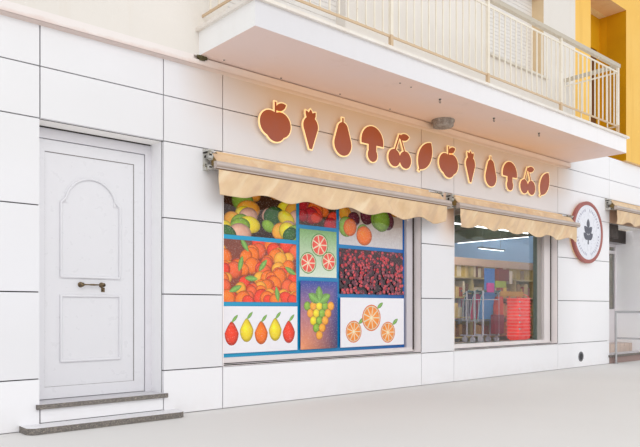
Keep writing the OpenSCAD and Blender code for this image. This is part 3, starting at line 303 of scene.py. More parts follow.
def lamp_wash(made, low, high):
    """How much of the sign's warm light a place gets: more with height, less past the balcony's ends."""
    return made.product(made.reach("Z", low, high), made.reach("X", -4.5, -3.3),
                        made.reach("X", 2.9, 2.2), made.reach("X", -1.2, 1.0, 1.0, 0.78))


print("three recipes ready")

# %% Masonry and cladding
def masonry():
    """Dark in the open joints of the cladding, pale paint on the reveals, beige under a head."""
    made = Finish("Masonry behind the cladding", 0.85, Specular_IOR_Level=0.25)
    reveal = made.mottle((251, 250, 253), (255, 255, 255), 1.4, 5)
    head = made.blend(made.facing("Z", -0.5, -0.8), reveal, (255, 252, 248))
    fine = made.cloud(90, 4)
    joint = made.blend(fine, (98, 95, 95), (64, 62, 62))
    return made.done(made.blend(made.facing("Y", -0.6, -0.8), head, joint), made.spread(fine, 0.75, 0.95),
                     (fine, 0.0006), (made.cloud(9, 4), 0.002))


def cladding_panels():
    """Satin white sheets with faint waves, dust low down, soft streaks, and painted light and shade, such as a
    tan shade under the entrance awning.
    """
    made = Finish("Cladding white", 0.3)
    mixed = made.blend(made.band(made.cloud(0.55, 2), 0.35, 0.65), (238, 237, 241), (232, 231, 233))
    # Painted light: the right part of the front and the base row are painted brighter.
    bright = made.sum(made.reach("X", 2.3, 3.1), made.reach("Z", 0.42, 0.40, 0, 0.6), how="MAXIMUM")
    plain = made.blend(bright, mixed, (252, 251, 254))
    # Painted shade under the balcony, and higher up the sign's painted warm light.
    shaded = made.blend(lamp_wash(made, 2.30, 2.86), plain, (216, 203, 196))
    washed = made.blend(lamp_wash(made, 2.72, 3.24), shaded, (234, 198, 158))
    # Painted shade: tan on the cladding under the entrance awning, and warm shade on the pier under the
    # awnings' ends.
    entrance_awning_shade = made.product(made.reach("X", 4.14, 4.16), made.reach("X", 5.93, 5.91),
                                 made.reach("Z", 2.82, 2.76))
    pier_awning_shade = made.product(made.reach("X", -0.80, -0.46), made.reach("X", -0.31, -0.33),
                             made.reach("Z", 1.75, 2.32, 0, 0.95), made.reach("Z", 2.52, 2.50))
    toned = made.blend(pier_awning_shade, washed, (228, 184, 142))
    sheet = made.blend(entrance_awning_shade, toned, (206, 172, 148))
    run = made.cloud(1.0, 5, 0.6, stretch=(9, 9, 0.45))
    streaked = made.blend(made.band(run, 0.55, 0.85, 0, 0.03), sheet, (214, 208, 203))
    dusty = made.band(made.cloud(7, 5), 0.3, 0.75, 0.15, 1.0)
    low = made.product(made.reach("Z", 0.02, 0.22, 0.16, 0.0), dusty)
    return made.done(made.blend(low, streaked, (203, 190, 178)), made.spread(made.cloud(3.5, 3), 0.31, 0.37),
                     (made.cloud(1.9, 1), 0.0030), (made.cloud(260, 2), 0.00003))


CLADDING, MASONRY = cladding_panels(), masonry()
WHITE = lacquer("White lacquer", (232, 224, 223), 0.3, 0.012)
DARK_PLASTIC = lacquer("Dark plastic", (70, 70, 66), 0.55, 0.06)
DARK_GAP = lacquer("Dark gap", (44, 38, 34), 0.8, 0.1)
print(len(bpy.data.materials), "finishes so far")

# %% [markdown]
# ## Dressing the solids
# A solid from the construction keeps its mesh. Its finish goes into its material slot, which is all that
# it needs when its shape is already right. One function does that for a list of nodes, and each later
# cell calls it for the pieces that it is about.

# %% Give the plain finishes to walls, frames and shutters
def dress(finish, *nodes):
    """Puts one finish on CAD nodes."""
    for name in nodes:
        slots = NODES[name].data.materials
        slots.clear()
        slots.append(finish)
    print(finish.name, "on", ", ".join(nodes))


def soften(width, *nodes, segments=2):
    """Rounds the sharp edges of CAD nodes a little."""
    for name in nodes:
        made = NODES[name].modifiers.new("Soft edges", "BEVEL")
        made.width, made.segments = width, segments
        made.limit_method, made.angle_limit = "ANGLE", math.radians(40)


def lining_paint():
    """White linings; the sides are painted a little greyer than the ledges, as painted shade."""
    made = Finish("Opening lining", 0.42)
    cloudy = made.band(made.cloud(2.5, 4))
    side = made.blend(cloudy, (244, 236, 236), (250, 243, 242))
    return made.done(made.blend(made.facing("Z", 0.5, 0.8), side, (250, 247, 249)),
                     made.band(cloudy, 0, 1, 0.36, 0.5), (made.cloud(420, 2), 0.00004))


dress(CLADDING, "cladding_base_row", "cladding_tall_rows", "cladding_top_rows", "sign_bodies")
dress(MASONRY, "front_piers", "sill_walls", "front_lintel")
dress(plaster("Pale render", (226, 220, 208), (186, 176, 160), streaks=0.4),
      "party_wall_left", "party_wall_right", "rear_wall")
dress(lacquer("Shutter lacquer", (232, 228, 224), 0.45, 0.03), "front_shutters", "rear_shutters")
dress(plaster("Pale stone", (228, 221, 209), (160, 152, 140), 0.0006, 0.4), "roof_coping", "window_sills")
dress(lacquer("Grey steel paint", (196, 199, 202), 0.4, 0.03), "rear_door")
dress(lining_paint(), "window_linings")
soften(0.0025, "window_frames", "window_linings", "roof_coping", "window_sills")

# %% [markdown]
# ## The balcony slab
# The slab's edge is white and its underside a pale mauve beige, stained where water creeps in from the edge.
# The finish also paints light: the sign's warm light on the underside, lighter towards its right end, and a
# whiter left side.
# Both are one solid here, so the finish asks which way the surface faces: down is the underside. That is
# a fair use of the surface direction, because it doesn't change when the camera moves.

# %% White edge, beige underside
def slab_paint():
    made = Finish("Balcony paint", 0.82, Specular_IOR_Level=0.3)
    # Painted light: the underside is lighter towards its right end.
    mauve = made.blend(made.reach("X", 1.2, 2.7), (240, 218, 211), (253, 234, 230))
    # Painted light from the sign: warm on the underside, stronger near the wall.
    to_sign = made.product(made.reach("X", -4.4, 1.5, 0.1, 1.0), made.reach("X", 2.7, 1.2, 0.2, 1.0),
                           made.reach("Y", FACE_Y - 0.75, FACE_Y - 0.05, 0.35, 1.0))
    mist = made.spread(made.cloud(1.1, 6), -0.12, 0.12)
    patches = made.band(made.cloud(3.2, 7, 0.62), 0.60, 0.80, 0, 0.22)
    warm = made.blend(made.sum(to_sign, mist), mauve, (255, 212, 170))
    beneath = made.blend(patches, warm, (190, 160, 138))
    run = made.cloud(1.0, 6, 0.6, stretch=(5, 5, 0.6))
    front = made.blend(made.reach("X", -4.0, 3.0), (224, 222, 225), (255, 252, 253))
    # Painted light: the slab's left side is painted whiter than its front.
    white = made.blend(made.facing("X", -0.5, -0.8), front, (252, 251, 250))
    edge = made.blend(made.band(run, 0.5, 0.85, 0, 0.14), white, (208, 200, 194))
    return made.done(made.blend(made.facing("Z", -0.4, -0.8), edge, beneath), made.spread(run, 0.76, 0.9),
                     (made.cloud(170, 4), 0.0006), (made.cloud(10, 4), 0.002))


def edge_tiles():
    made = Finish("Edge tiles", 0.5)
    tile = made.tiles((243, 238, 230), (239, 232, 224), (234, 227, 220), 0.25, 0.33, 0.003)
    stain = made.band(made.cloud(6, 6), 0.4, 0.8, 0, 0.35)
    return made.done(made.blend(stain, tile["Color"], (212, 190, 166)),
                     made.spread(made.cloud(9, 4), 0.42, 0.66),
                     (tile["Fac"], -0.0003), (made.cloud(90, 3), 0.0003))


dress(slab_paint(), "balcony_slab")
dress(edge_tiles(), "balcony_nosing")
soften(0.008, "balcony_nosing", segments=3)
soften(0.004, "balcony_slab")

# %% [markdown]
# ## A small kit for meshes
# The extra pieces are few kinds of shape: a block with softened edges, a bar swept along a line, a turned
# piece, and a flat plate cut to an outline. Most of them are rings of points with a skin from ring to
# ring. Each helper adds one shape to an open bmesh, so that a whole fitting with many parts ends as one
# object. The last two helpers turn a bmesh, or a list of blocks, into a piece that rides on its body.

# %% The mesh kit
def block(bm, low, high, soft=0.0):
    """A block between two corners with softened edges."""
    low, high = Vector(map(min, low, high)), Vector(map(max, low, high))
    made = bmesh.ops.create_cube(bm, size=1.0)["verts"]
    for vert in made:
        vert.co = (low + high) / 2 + Vector(a * b for a, b in zip(vert.co, high - low))
    if soft:
        edges = {edge for vert in made for edge in vert.link_edges}
        bmesh.ops.bevel(bm, geom=list(edges), offset=soft, segments=2, affect="EDGES")


def loft(bm, rings, closed=False):
    """A skin over a row of rings of points, capped at both ends or closed to a loop."""
    rings = [[bm.verts.new(point) for point in ring] for ring in rings]
    for first, second in zip(rings, rings[1:] + rings[:closed]):
        for k in range(len(first)):
            j = (k + 1) % len(first)
            bm.faces.new((first[k], first[j], second[j], second[k]))
    if not closed:
        bm.faces.new(rings[0][::-1])
        bm.faces.new(rings[-1])


def sweep(bm, line, radius, sides=12):
    """A round bar along a line of points; radius is a number or one for each point."""
    line = [Vector(point) for point in line]
    radii = radius if isinstance(radius, list) else [radius] * len(line)
    across, rings = None, []
    for i, point in enumerate(line):
        ahead = (line[min(i + 1, len(line) - 1)] - line[max(i - 1, 0)]).normalized()
        if across is None:
            across = ahead.orthogonal().normalized()
        across = (across - ahead * across.dot(ahead)).normalized()
        other = ahead.cross(across)
        rings.append([point + radii[i] * (math.cos(t) * across + math.sin(t) * other) for t in circle(sides)])
    loft(bm, rings)


def turn(bm, profile, foot, axis, sides=32, ribs=0, rib=0.0, closed=False):
    """A turned piece: (radius, height) pairs round an axis, with ribs if asked for."""
    spin = Vector(axis).to_track_quat("Z", "Y").to_matrix()

    def at(radius, height, t):
        r = radius * (1 + rib * math.cos(ribs * t))
        return Vector(foot) + spin @ Vector((r * math.cos(t), r * math.sin(t), height))

    loft(bm, [[at(*pair, t) for t in circle(sides)] for pair in profile], closed)


def plate(bm, outline, along, up, out, thick):
    """A flat plate on the front: its outline round a middle, its back at out."""
    loft(bm, [[spot(along + a, at, up + u) for a, u in outline] for at in (out, out + thick)])


print("four shapes ready")

# %% From a mesh to a piece
def piece(name, bm, finish, body=BUILDING, smooth=None, replaces=None, tidy=True):
    """Turns a bmesh into a piece on a body; smooth is the angle in degrees under which edges are rounded."""
    if tidy:
        bmesh.ops.recalc_face_normals(bm, faces=bm.faces)
    mesh = bpy.data.meshes.new(name)
    bm.to_mesh(mesh)
    bm.free()
    made = bpy.data.objects.new(name, mesh)
    bpy.context.scene.collection.objects.link(made)
    mesh.materials.append(finish)
    if smooth:
        mesh.shade_smooth()
        mesh.set_sharp_from_angle(angle=math.radians(smooth))
    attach(made, body)
    if replaces:
        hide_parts(replaces)
    return made


def blocks(name, finish, slot, soft, *corners, body=BUILDING):
    """A piece of blocks, each given by two corners in builder's measures."""
    bm = bmesh.new()
    for low, high in corners:
        block(bm, spot(*low), spot(*high), soft)
    return piece(name, bm, finish, body)


print("mesh kit ready")

# %% [markdown]
# ## The string course and the cream wall
# The cream wall over the cladding has a brown stain high at its left end, where water has run out of an
# old hole. The string course is rosy along its lower edge, over a small cove: that rosy band is painted
# shade under its ledge. Dirt like this always has a cause and a place, so the stain is painted by height
# and position, broken up with noise, and so is the shade.

# %% Cream wall with its stain
OLD_HOLE = spot(0.10, 0.07, 3.78)


def cream_wall():
    made = Finish("Stained cream render", 0.9, Specular_IOR_Level=0.25)
    cream = (233, 227, 219)
    cloudy = made.mottle(tone(cream, 0.97), (238, 232, 226), 0.8, 6)
    run = made.cloud(1.0, 6, 0.6, stretch=(6, 6, 0.5))
    soiled = made.blend(made.band(run, 0.55, 0.85, 0, 0.26), cloudy, (222, 205, 184))
    away = made.node("VectorMath", {"operation": "DISTANCE"}, i0=made.place, i1=OLD_HOLE).outputs["Value"]
    rough_edge = made.sum(away, made.spread(made.cloud(5, 6), -0.16, 0.16))
    stained = made.blend(made.band(rough_edge, 0.36, 0.02, 0, 0.6), soiled, (178, 150, 98))
    reveal = made.product(made.facing("X", -0.5, -0.8), made.reach("X", 0.0, 0.1))
    painted = made.blend(reveal, stained, (226, 200, 162))
    fine = made.band(made.cloud(140, 3), 0.45, 0.8, 0, 0.08)
    return made.done(made.blend(fine, painted, tone(cream, 0.8)), made.spread(run, 0.84, 0.96),
                     (made.cloud(150, 4, 0.65), 0.001), (made.cloud(8, 4), 0.003))


dress(cream_wall(), "upper_front_wall")
print("stain at", [round(part, 2) for part in OLD_HOLE])

# %% String course with its rosy edge of painted shade, and its cove
course_low, course_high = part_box("string_course")
COVE_H, COVE_OUT = 0.012, 0.060


def course_paint():
    made = Finish("String course paint", 0.8, Specular_IOR_Level=0.3)
    low = course_low.z
    marked = made.sum(made.part("Z"), made.band(made.cloud(6, 6), 0.25, 0.75, -0.02, 0.02))
    clean = made.mottle((241, 234, 231), (239, 230, 226), 2, 5)
    # Painted shade: the lower edge turns rosy under the ledge; then the sign's painted warm light over the
    # balcony.
    rosy = made.blend(made.band(marked, low + 0.030, low + 0.002, 0, 0.6), clean, (224, 200, 190))
    return made.done(made.blend(lamp_wash(made, 3.0, 3.1), rosy, (252, 218, 186)),
                     made.band(marked, low, low + 0.06, 0.9, 0.7),
                     (made.cloud(160, 4), 0.0008), (made.cloud(11, 4), 0.002))


COURSE = course_paint()
dress(COURSE, "string_course")
hollow = [math.radians(15 * k) for k in range(7)]
profile = [(0.0, COVE_H), (0.0, 0.0)]
profile += [(COVE_OUT * (1 - math.cos(t)), -0.001 + (COVE_H - 0.001) * math.sin(t)) for t in hollow]
cove = bmesh.new()
loft(cove, [[Vector((x, FACE_Y - 0.0005 - out, course_low.z - COVE_H + up)) for out, up in profile]
            for x in (course_low.x + 0.004, course_high.x - 0.004)])
piece("course_cove", cove, COURSE, smooth=60)
print("cove", COVE_H, "m high")

# %% [markdown]
# ## Railing, hooks and the round lamp
# The railing is cream paint on thin steel, tan along its lower rail, with rust at a few ends; the sides and
# underside of its handrail are painted greyer as painted shade. Under the slab hang three small hooks and a
# few plugs, left from an older sign, and one round ribbed lamp that is grey-brown with dust. The lamp is
# turned with ribs in its side, so that it catches the light like the real one. A tuft of moss grows in a
# notch of the cladding.

# %% Railing paint with rust
def railing_paint():
    made = Finish("Railing paint", 0.42)
    foot, top = (corner.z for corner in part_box("railing_front"))
    cream = made.mottle((243, 236, 222), (234, 223, 204), 4, 5)
    marked = made.blend(made.reach("Z", foot + 0.150, foot + 0.142, 0, 0.85), cream, (206, 174, 134))
    # Painted shade: the handrail's sides and underside are greyer than its top.
    handrail_shade = made.product(made.reach("Z", top - 0.053, top - 0.051), made.facing("Z", 0.6, 0.3))
    marked = made.blend(handrail_shade, marked, (196, 186, 168))
    spots = made.band(made.cloud(11, 7, 0.7), 0.66, 0.74)
    return made.done(made.blend(spots, marked, (150, 96, 52)), made.band(spots, 0, 1, 0.4, 0.85),
                     (spots, 0.0004), (made.cloud(240, 3), 0.0001))


dress(railing_paint(), "railing_front", "railing_returns")

# %% Hooks and plugs under the slab
hooks, plugs = bmesh.new(), bmesh.new()
for along, out in ((4.812, 0.747), (5.918, 0.715), (6.983, 0.706)):
    top = spot(along, out, SOFFIT_UP)
    turn(hooks, [(0.016, 0), (0.016, 0.003), (0.008, 0.008), (0.008, 0.012)], top, (0, 0, -1), 16)
    ring = [Vector((0.014 * math.sin(t), 0, -0.028 - 0.017 * math.cos(t)))
            for t in (math.pi + 2 * math.pi * 0.88 * k / 18 for k in range(19))]
    sweep(hooks, [top] + [top + point for point in ring], 0.0032, 8)
for along, out in ((2.319, 0.134), (3.036, 0.100), (3.843, 0.127), (4.669, 0.114), (4.069, 0.808),
                   (4.253, 0.801)):
    turn(plugs, [(0.010, 0), (0.010, 0.002), (0.007, 0.004)], spot(along, out, SOFFIT_UP), (0, 0, -1), 12)
piece("soffit_hooks", hooks, DARK_PLASTIC, smooth=35)
piece("soffit_plugs", plugs, DARK_PLASTIC, smooth=35)
print("three hooks and six plugs")

# %% Moss in the notch, and the ribbed lamp
MOSS = grained("Moss", (84, 76, 54), (116, 106, 76), (60, 5), (0.9, 1.0), 0.006, (0.35, 0.65),
               rough=0.95, Specular_IOR_Level=0.1)
lump = bmesh.new()
bmesh.ops.create_icosphere(lump, subdivisions=4, radius=1.0)
for vert in lump.verts:
    way = vert.co.normalized()
    r = 1 + 0.45 * noise.noise(way * 2.2) + 0.25 * noise.noise(way * 6.5)
    vert.co = spot(2.115, 0.075, SOFFIT_UP - 0.012) + way * Vector((0.050, 0.022, 0.028)) * r
piece("notch_moss", lump, MOSS, smooth=180)


def dusty_lamp():
    made = Finish("Dusty lamp plastic", 0.65)
    dust = made.mottle((190, 180, 170), (136, 124, 112), 16, 6)
    return made.done(made.blend(made.band(made.cloud(60, 4), 0.5, 0.75, 0, 0.5), dust, (98, 88, 78)),
                     made.spread(made.cloud(30, 4), 0.5, 0.85), (made.cloud(90, 4), 0.0008))


lamp_low, lamp_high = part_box("balcony_lamp")
lamp_top = (lamp_low + lamp_high) / 2
lamp_top.z = lamp_high.z
lamp_r, lamp_h = (lamp_high.x - lamp_low.x) / 2, lamp_high.z - lamp_low.z
LAMP_PROFILE = ((0.97, 0), (0.97, 0.30), (0.90, 0.34), (0.88, 0.80), (0.80, 0.93), (0.62, 0.99), (0.2, 1))
ribbed = bmesh.new()
profile = [(r * lamp_r, h * lamp_h) for r, h in LAMP_PROFILE]
turn(ribbed, profile, lamp_top, (0, 0, -1), 144, ribs=24, rib=0.025)
piece("soffit_lamp", ribbed, dusty_lamp(), smooth=35, replaces="balcony_lamp")
print("lamp radius", round(lamp_r, 3))

# %% [markdown]
# ## Loggia
# Beside the cream wall the front is warm yellow and opens into a small loggia. Its walls are painted a deep
# ochre as painted shade and its ceiling a dull brown-beige, so the recess reads much darker than the pier
# beside it. The door at the back is dark varnished wood.

# %% Ochre loggia and its brown door
def wing_paint():
    """Yellow outside; the loggia's reveals are painted ochre as painted shade, and its head is a dull
    brown-beige.
    """
    made = Finish("Yellow and ochre render", 0.9, Specular_IOR_Level=0.25)
    cloudy = made.band(made.cloud(0.9, 6))
    yellow = made.blend(cloudy, (250, 199, 102), (255, 208, 116))
    ochre = made.blend(cloudy, (214, 156, 0), (192, 134, 0))
    # Painted shade: faces that look left, the loggia's reveals, are ochre.
    painted = made.blend(made.facing("X", -0.5, -0.8), yellow, ochre)
    under = made.blend(made.facing("Z", -0.5, -0.8), painted, (240, 202, 152))
    run = made.cloud(1.0, 6, 0.6, stretch=(5.5, 5.5, 0.5))
    return made.done(made.blend(made.band(run, 0.56, 0.82, 0, 0.3), under, tone((214, 160, 84), 0.8)),
                     made.spread(run, 0.82, 0.96),
                     (made.cloud(150, 4, 0.65), 0.0011), (made.cloud(9, 4), 0.0035))


# Painted shade: the loggia's own walls are a deep ochre.
dress(plaster("Loggia ochre in painted shade", (216, 158, 6), (176, 124, 8), streaks=0.35), "loggia_walls")
dress(wing_paint(), "wing_wall")
dress(grained("Varnished wood", (84, 52, 32), (128, 84, 52), (1.0, 7, 0.6, (60, 60, 1.6)), (0.3, 0.5), 0.0004,
              rough=0.35), "loggia_door")

# %% [markdown]
# ## The street door
# The door is white lacquer, a shade darker on its frame. Its two raised fields are already in the solid,
# so it needs only its finish, the half-round beads that frame the fields, and a gasket. The pull handle is
# dark old brass: two round bosses and a slim bar, with a small lock plate at the right. A bar swept with a
# changing radius gives the waist that a plain cylinder would lack. The steps are speckled granite.

# %% Lacquer for leaf and frame, granite for the steps
def granite():
    """Speckled granite: dark flamed fronts, and smoother tops painted pale as a painted reflection of the sky.
    """
    made = Finish("Granite", 0.75, Specular_IOR_Level=0.5)
    mixed = made.part("X", made.node("TexVoronoi", Vector=made.place, Scale=230.0).outputs["Color"])
    speckled = made.blend(made.band(mixed, 0.2, 0.6), (92, 87, 84), (130, 124, 119))
    flecked = made.blend(made.band(mixed, 0.84, 0.9), speckled, (176, 166, 152))
    front = made.blend(made.band(made.cloud(5, 5), 0.4, 0.75, 0, 0.4), flecked, (122, 112, 104))
    # Painted reflection of the sky: the tops are painted pale, the lower step paler than the landing.
    lower = made.blend(made.band(mixed, 0.1, 0.9), (226, 224, 228), (250, 249, 252))
    landing = made.blend(made.band(mixed, 0.1, 0.9), (194, 192, 196), (222, 220, 224))
    sky_on_tops = made.blend(made.reach("Z", 0.13, 0.16), lower, landing)
    upward = made.facing("Z", 0.5, 0.8)
    # Painted shade: the front of the low step at the entrance is a reddish grey.
    riser = made.product(made.reach("Z", 0.114, 0.112), made.facing("Y", -0.5, -0.8),
                         made.reach("X", 3.0, 3.1))
    return made.done(made.blend(riser, made.blend(upward, front, sky_on_tops), (162, 138, 132)),
                     made.sum(made.band(mixed, 0, 1, 0.62, 0.85), made.band(upward, 0, 1, 0.0, -0.3)),
                     (mixed, 0.0004), (made.cloud(40, 4), 0.0008))


DOOR_LACQUER = lacquer("Door leaf lacquer", (229, 228, 232), 0.3, 0.01)
dress(DOOR_LACQUER, "door_leaf")
dress(lacquer("Door frame lacquer", (228, 226, 231), 0.34, 0.012), "door_frame")
dress(granite(), "door_steps", "entrance_steps")
soften(0.004, "door_steps", "entrance_steps")
soften(0.002, "door_frame", "door_leaf")

# %% Beads around the two fields of the leaf
LEAF_MIDDLE, LEAF_FOOT, BEAD_R = 1.175, 0.211, 0.012
FIELD_W, FIELD_FOOT, FIELD_H = 0.559, 0.300, 0.590
ARCH_GAP, ARCH_H, ARCH_R, ARCH_HALF = 0.137, 0.659, 0.247, 0.229
BEAD_OUT = FACE_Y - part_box("door_leaf")[0].y - 0.001


def bead(bm, corners):
    """A closed half-round bead through a list of (along, up) corners."""
    line = []
    for before, here, after in zip(corners[-1:] + corners[:-1], corners, corners[1:] + corners[:1]):
        for other in (before, after):
            back = Vector(other) - Vector(here)
            line.append(Vector(here) + back.normalized() * min(0.004, back.length / 3))
    sweep(bm, [spot(a, BEAD_OUT, u) for a, u in line + line[:2]], BEAD_R)


beads = bmesh.new()
left, right = LEAF_MIDDLE - FIELD_W / 2 + 0.013, LEAF_MIDDLE + FIELD_W / 2 - 0.013
foot = LEAF_FOOT + FIELD_FOOT
head = foot + FIELD_H - 0.013
bead(beads, [(left, foot + 0.013), (right, foot + 0.013), (right, head), (left, head)])
foot += FIELD_H + ARCH_GAP
rise = [(LEAF_MIDDLE + ARCH_HALF * math.sin(t), foot + ARCH_H - 0.013 + (ARCH_R - 0.013) * math.cos(t))
        for t in (math.radians(78) * (1 - 2 * k / 20) for k in range(21))]
bead(beads, [(left, foot + 0.013), (right, foot + 0.013), (right, foot + ARCH_H - 0.006), *rise,
             (left, foot + ARCH_H - 0.006)])
piece("door_beads", beads, DOOR_LACQUER, DOOR, smooth=35)
print("beads at", round(BEAD_OUT, 3))

# %% The leaf's gasket, and the gap over the frame
STILE, PANEL_W = 0.100, 0.810
leaf_low, leaf_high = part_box("door_leaf")
left, foot, head = leaf_low.x - LEFT_X + STILE, LEAF_FOOT + STILE, leaf_high.z - STILE
right, back, front = left + PANEL_W, BEAD_OUT - 0.0085, BEAD_OUT - 0.003
# Painted shade: the gasket is wider at the head and the right side than at the left and the foot, for the shade
# along those edges.
blocks("door_gasket", lacquer("Gasket grey", (138, 131, 130), 0.7, 0.1), "dark_plastic", 0.0005,
       ((left, back, head - 0.006), (right, front, head)),
       ((right - 0.005, back, foot), (right, front, head - 0.006)),
       ((left, back, foot), (left + 0.002, front, head - 0.006)),
       ((left + 0.002, back, foot), (right - 0.005, front, foot + 0.002)), body=DOOR)
blocks("door_head_gap", DARK_GAP, "dark_plastic", 0.001,
       ((0.666, -0.226, SHOP_HEAD - 0.010), (1.734, -0.216, SHOP_HEAD - 0.001)))
print("gasket round a panel", PANEL_W, "m wide")

# %% Old brass pull handle
pull_low, pull_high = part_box("door_handle")
leaf_out, bar_out = FACE_Y - pull_high.y, FACE_Y - pull_low.y - 0.008
pull_up = (pull_low.z + pull_high.z) / 2
left, right = pull_low.x - LEFT_X + 0.030, pull_high.x - LEFT_X - 0.030
pull, steps = bmesh.new(), 24
sweep(pull, [spot(left + (right - left) * k / steps, bar_out, pull_up) for k in range(steps + 1)],
      [0.0055 + 0.0030 * math.cos(math.pi * (2 * k / steps - 1)) ** 2 for k in range(steps + 1)], 14)
for at in (left, right):
    turn(pull, [(0.024, 0), (0.024, 0.004), (0.018, 0.008), (0.011, 0.012), (0.009, 0.026), (0.012, 0.034),
                (0.017, 0.042), (0.018, 0.050), (0.011, 0.056), (0.002, 0.058)],
         spot(at, leaf_out, pull_up), (0, -1, 0), 28)
block(pull, spot(right - 0.004, leaf_out, pull_up - 0.062),
      spot(right + 0.030, leaf_out + 0.004, pull_up - 0.022), 0.0015)
turn(pull, [(0.009, 0), (0.009, 0.010), (0.006, 0.012)],
     spot(right + 0.013, leaf_out + 0.003, pull_up - 0.042), (0, -1, 0), 16)
old_brass = grained("Old brass", (142, 122, 92), (78, 68, 58), (55, 6, 0.6), (0.34, 0.62), 0.00008,
                    (0.3, 0.68), (300, 3), rough=0.42, Metallic=1.0)
piece("door_pull", pull, old_brass, DOOR, smooth=35, replaces="door_handle")
print("pull handle stands", round(bar_out - leaf_out, 3), "m off the leaf")

# %% [markdown]
# ## Shop windows: frames, glass and seals
# The frames are white lacquer. A dark rubber seal runs around each pane, thin, but it draws the window's
# edge at a distance. The glass is a real slab with thickness, so the shop behind it shows darker and the
# street side shows faint reflections.

# %% Frames and panes
def clear_glass(name, tint):
    made = Finish(name, 0.0, IOR=1.33, Transmission_Weight=1.0, Base_Color=tint)
    return made.done(None, None, (made.cloud(0.8, 1), 0.0006))


def screen_lacquer():
    """White frames, and a dark brown box for the rolled-up shutter above them."""
    made = Finish("Entrance screen lacquer", 0.4)
    box = made.reach("Z", 2.259, 2.261)
    white = made.mottle((222, 216, 219), (230, 225, 228), 3, 4)
    brown = made.mottle((58, 46, 40), (44, 36, 32), 9, 4)
    return made.done(made.blend(box, white, brown), made.band(box, 0, 1, 0.32, 0.6),
                     (made.cloud(420, 2), 0.00004))


def frame_lacquer():
    """White frames; the stile between the windows stands in the awning's shade and is greyer."""
    made = Finish("Window frame lacquer", 0.3)
    cloudy = made.band(made.cloud(1.3, 3))
    white = made.blend(cloudy, (230, 222, 222), (234, 227, 226))
    shaded = made.product(made.reach("X", -1.42, -1.40), made.reach("X", -0.9, -1.0),
                          made.reach("Z", 0.47, 0.50))
    return made.done(made.blend(shaded, white, (212, 206, 210)), made.band(cloudy, 0, 1, 0.26, 0.36),
                     (made.cloud(420, 2), 0.00004), (made.cloud(3.1, 2), 0.0006))


dress(frame_lacquer(), "window_frames")
dress(screen_lacquer(), "entrance_screen")
dress(clear_glass("Clear glass", (0.95, 0.98, 0.975, 1)), "window_glass")
dress(clear_glass("Smoked glass", (0.42, 0.46, 0.44, 1)), "entrance_glass")

# %% Seals, painted sash shade and sash of the second window
left, right, foot, head = 6.184, 8.530, 0.486, 2.376
SEAT = -0.222
pane_seals_and_shade = bmesh.new()
for a, b in (((left, foot), (right, foot + 0.008)), ((left, head - 0.008), (right, head)),
             ((left, foot + 0.008), (left + 0.008, head - 0.008)),
             ((right - 0.010, foot + 0.008), (right, head - 0.008))):
    block(pane_seals_and_shade, spot(a[0], SEAT, a[1]), spot(b[0], SEAT + 0.006, b[1]), 0.0015)
# Painted shade: this dark strip stands for the shaded left side of the sash.
block(pane_seals_and_shade, spot(8.384, SEAT + 0.001, foot), spot(8.392, -0.158, head), 0.002)
piece("window_seals_and_shade", pane_seals_and_shade, lacquer("Seal and shade green-grey", (96, 108, 100), 0.5, 0.08))
sash_piece = blocks("window_sash", lacquer("Sash grey", (163, 157, 152), 0.35, 0.05), "white_lacquer", 0.006,
                    ((8.392, SEAT + 0.001, foot), (8.452, -0.150, head)),
                    ((8.455, SEAT + 0.001, foot), (8.522, -0.156, head)))
print("sash", round(sash_piece.dimensions.x, 3), "m wide")

# %% Painted shade in the jamb grooves, a white bead on the ledge and the joint under it
LINING_T, GROOVE_W, FRAME_OUT, LEDGE_UP = 0.012, 0.022, -0.110, 0.420
WINDOWS = ((2.400, 5.370), (6.060, 8.740))
# Painted shade: a dark strip fills the groove between frame and lining at the right jamb of each window.
blocks("jamb_groove_shade", lacquer("Groove shade brown", (60, 48, 44), 0.7, 0.1), "dark_plastic", 0.001,
       *[((right - LINING_T - GROOVE_W, FRAME_OUT - 0.020, LEDGE_UP + 0.036),
          (right - LINING_T, FRAME_OUT + 0.006, SHOP_HEAD - LINING_T)) for left, right in WINDOWS])
blocks("ledge_beads", WHITE, "white_lacquer", 0.003,
       *[((left + LINING_T, FRAME_OUT - 0.040, LEDGE_UP + LINING_T),
          (right - LINING_T, FRAME_OUT + 0.002, LEDGE_UP + LINING_T + GROOVE_W)) for left, right in WINDOWS])
blocks("ledge_joints", DARK_GAP, "dark_plastic", 0.0,
       *[pair for left, right in WINDOWS
         for pair in (((left, 0.0003, LEDGE_UP - 0.003), (right, 0.0013, LEDGE_UP + 0.008)),
                      ((right - 0.001, 0.0003, LEDGE_UP + 0.009), (right + 0.009, 0.0013, SHOP_HEAD - 0.060)))])
print("seals, beads and joints for", len(WINDOWS), "windows")

# %% [markdown]
# ## The printed film
# The first window is covered by a printed film: blue bands around pictures of fruit and vegetables. This
# film shows a market-stall design of its own: heaps, pears, grapes, leaves and citrus slices. A printer
# lays flat inks over each other, and so does this cell: each shape is a thin flat patch with a colour at
# every vertex, and each layer lies a fraction of a millimetre in front of the last. The vertex colours
# give round fruit their soft shading.

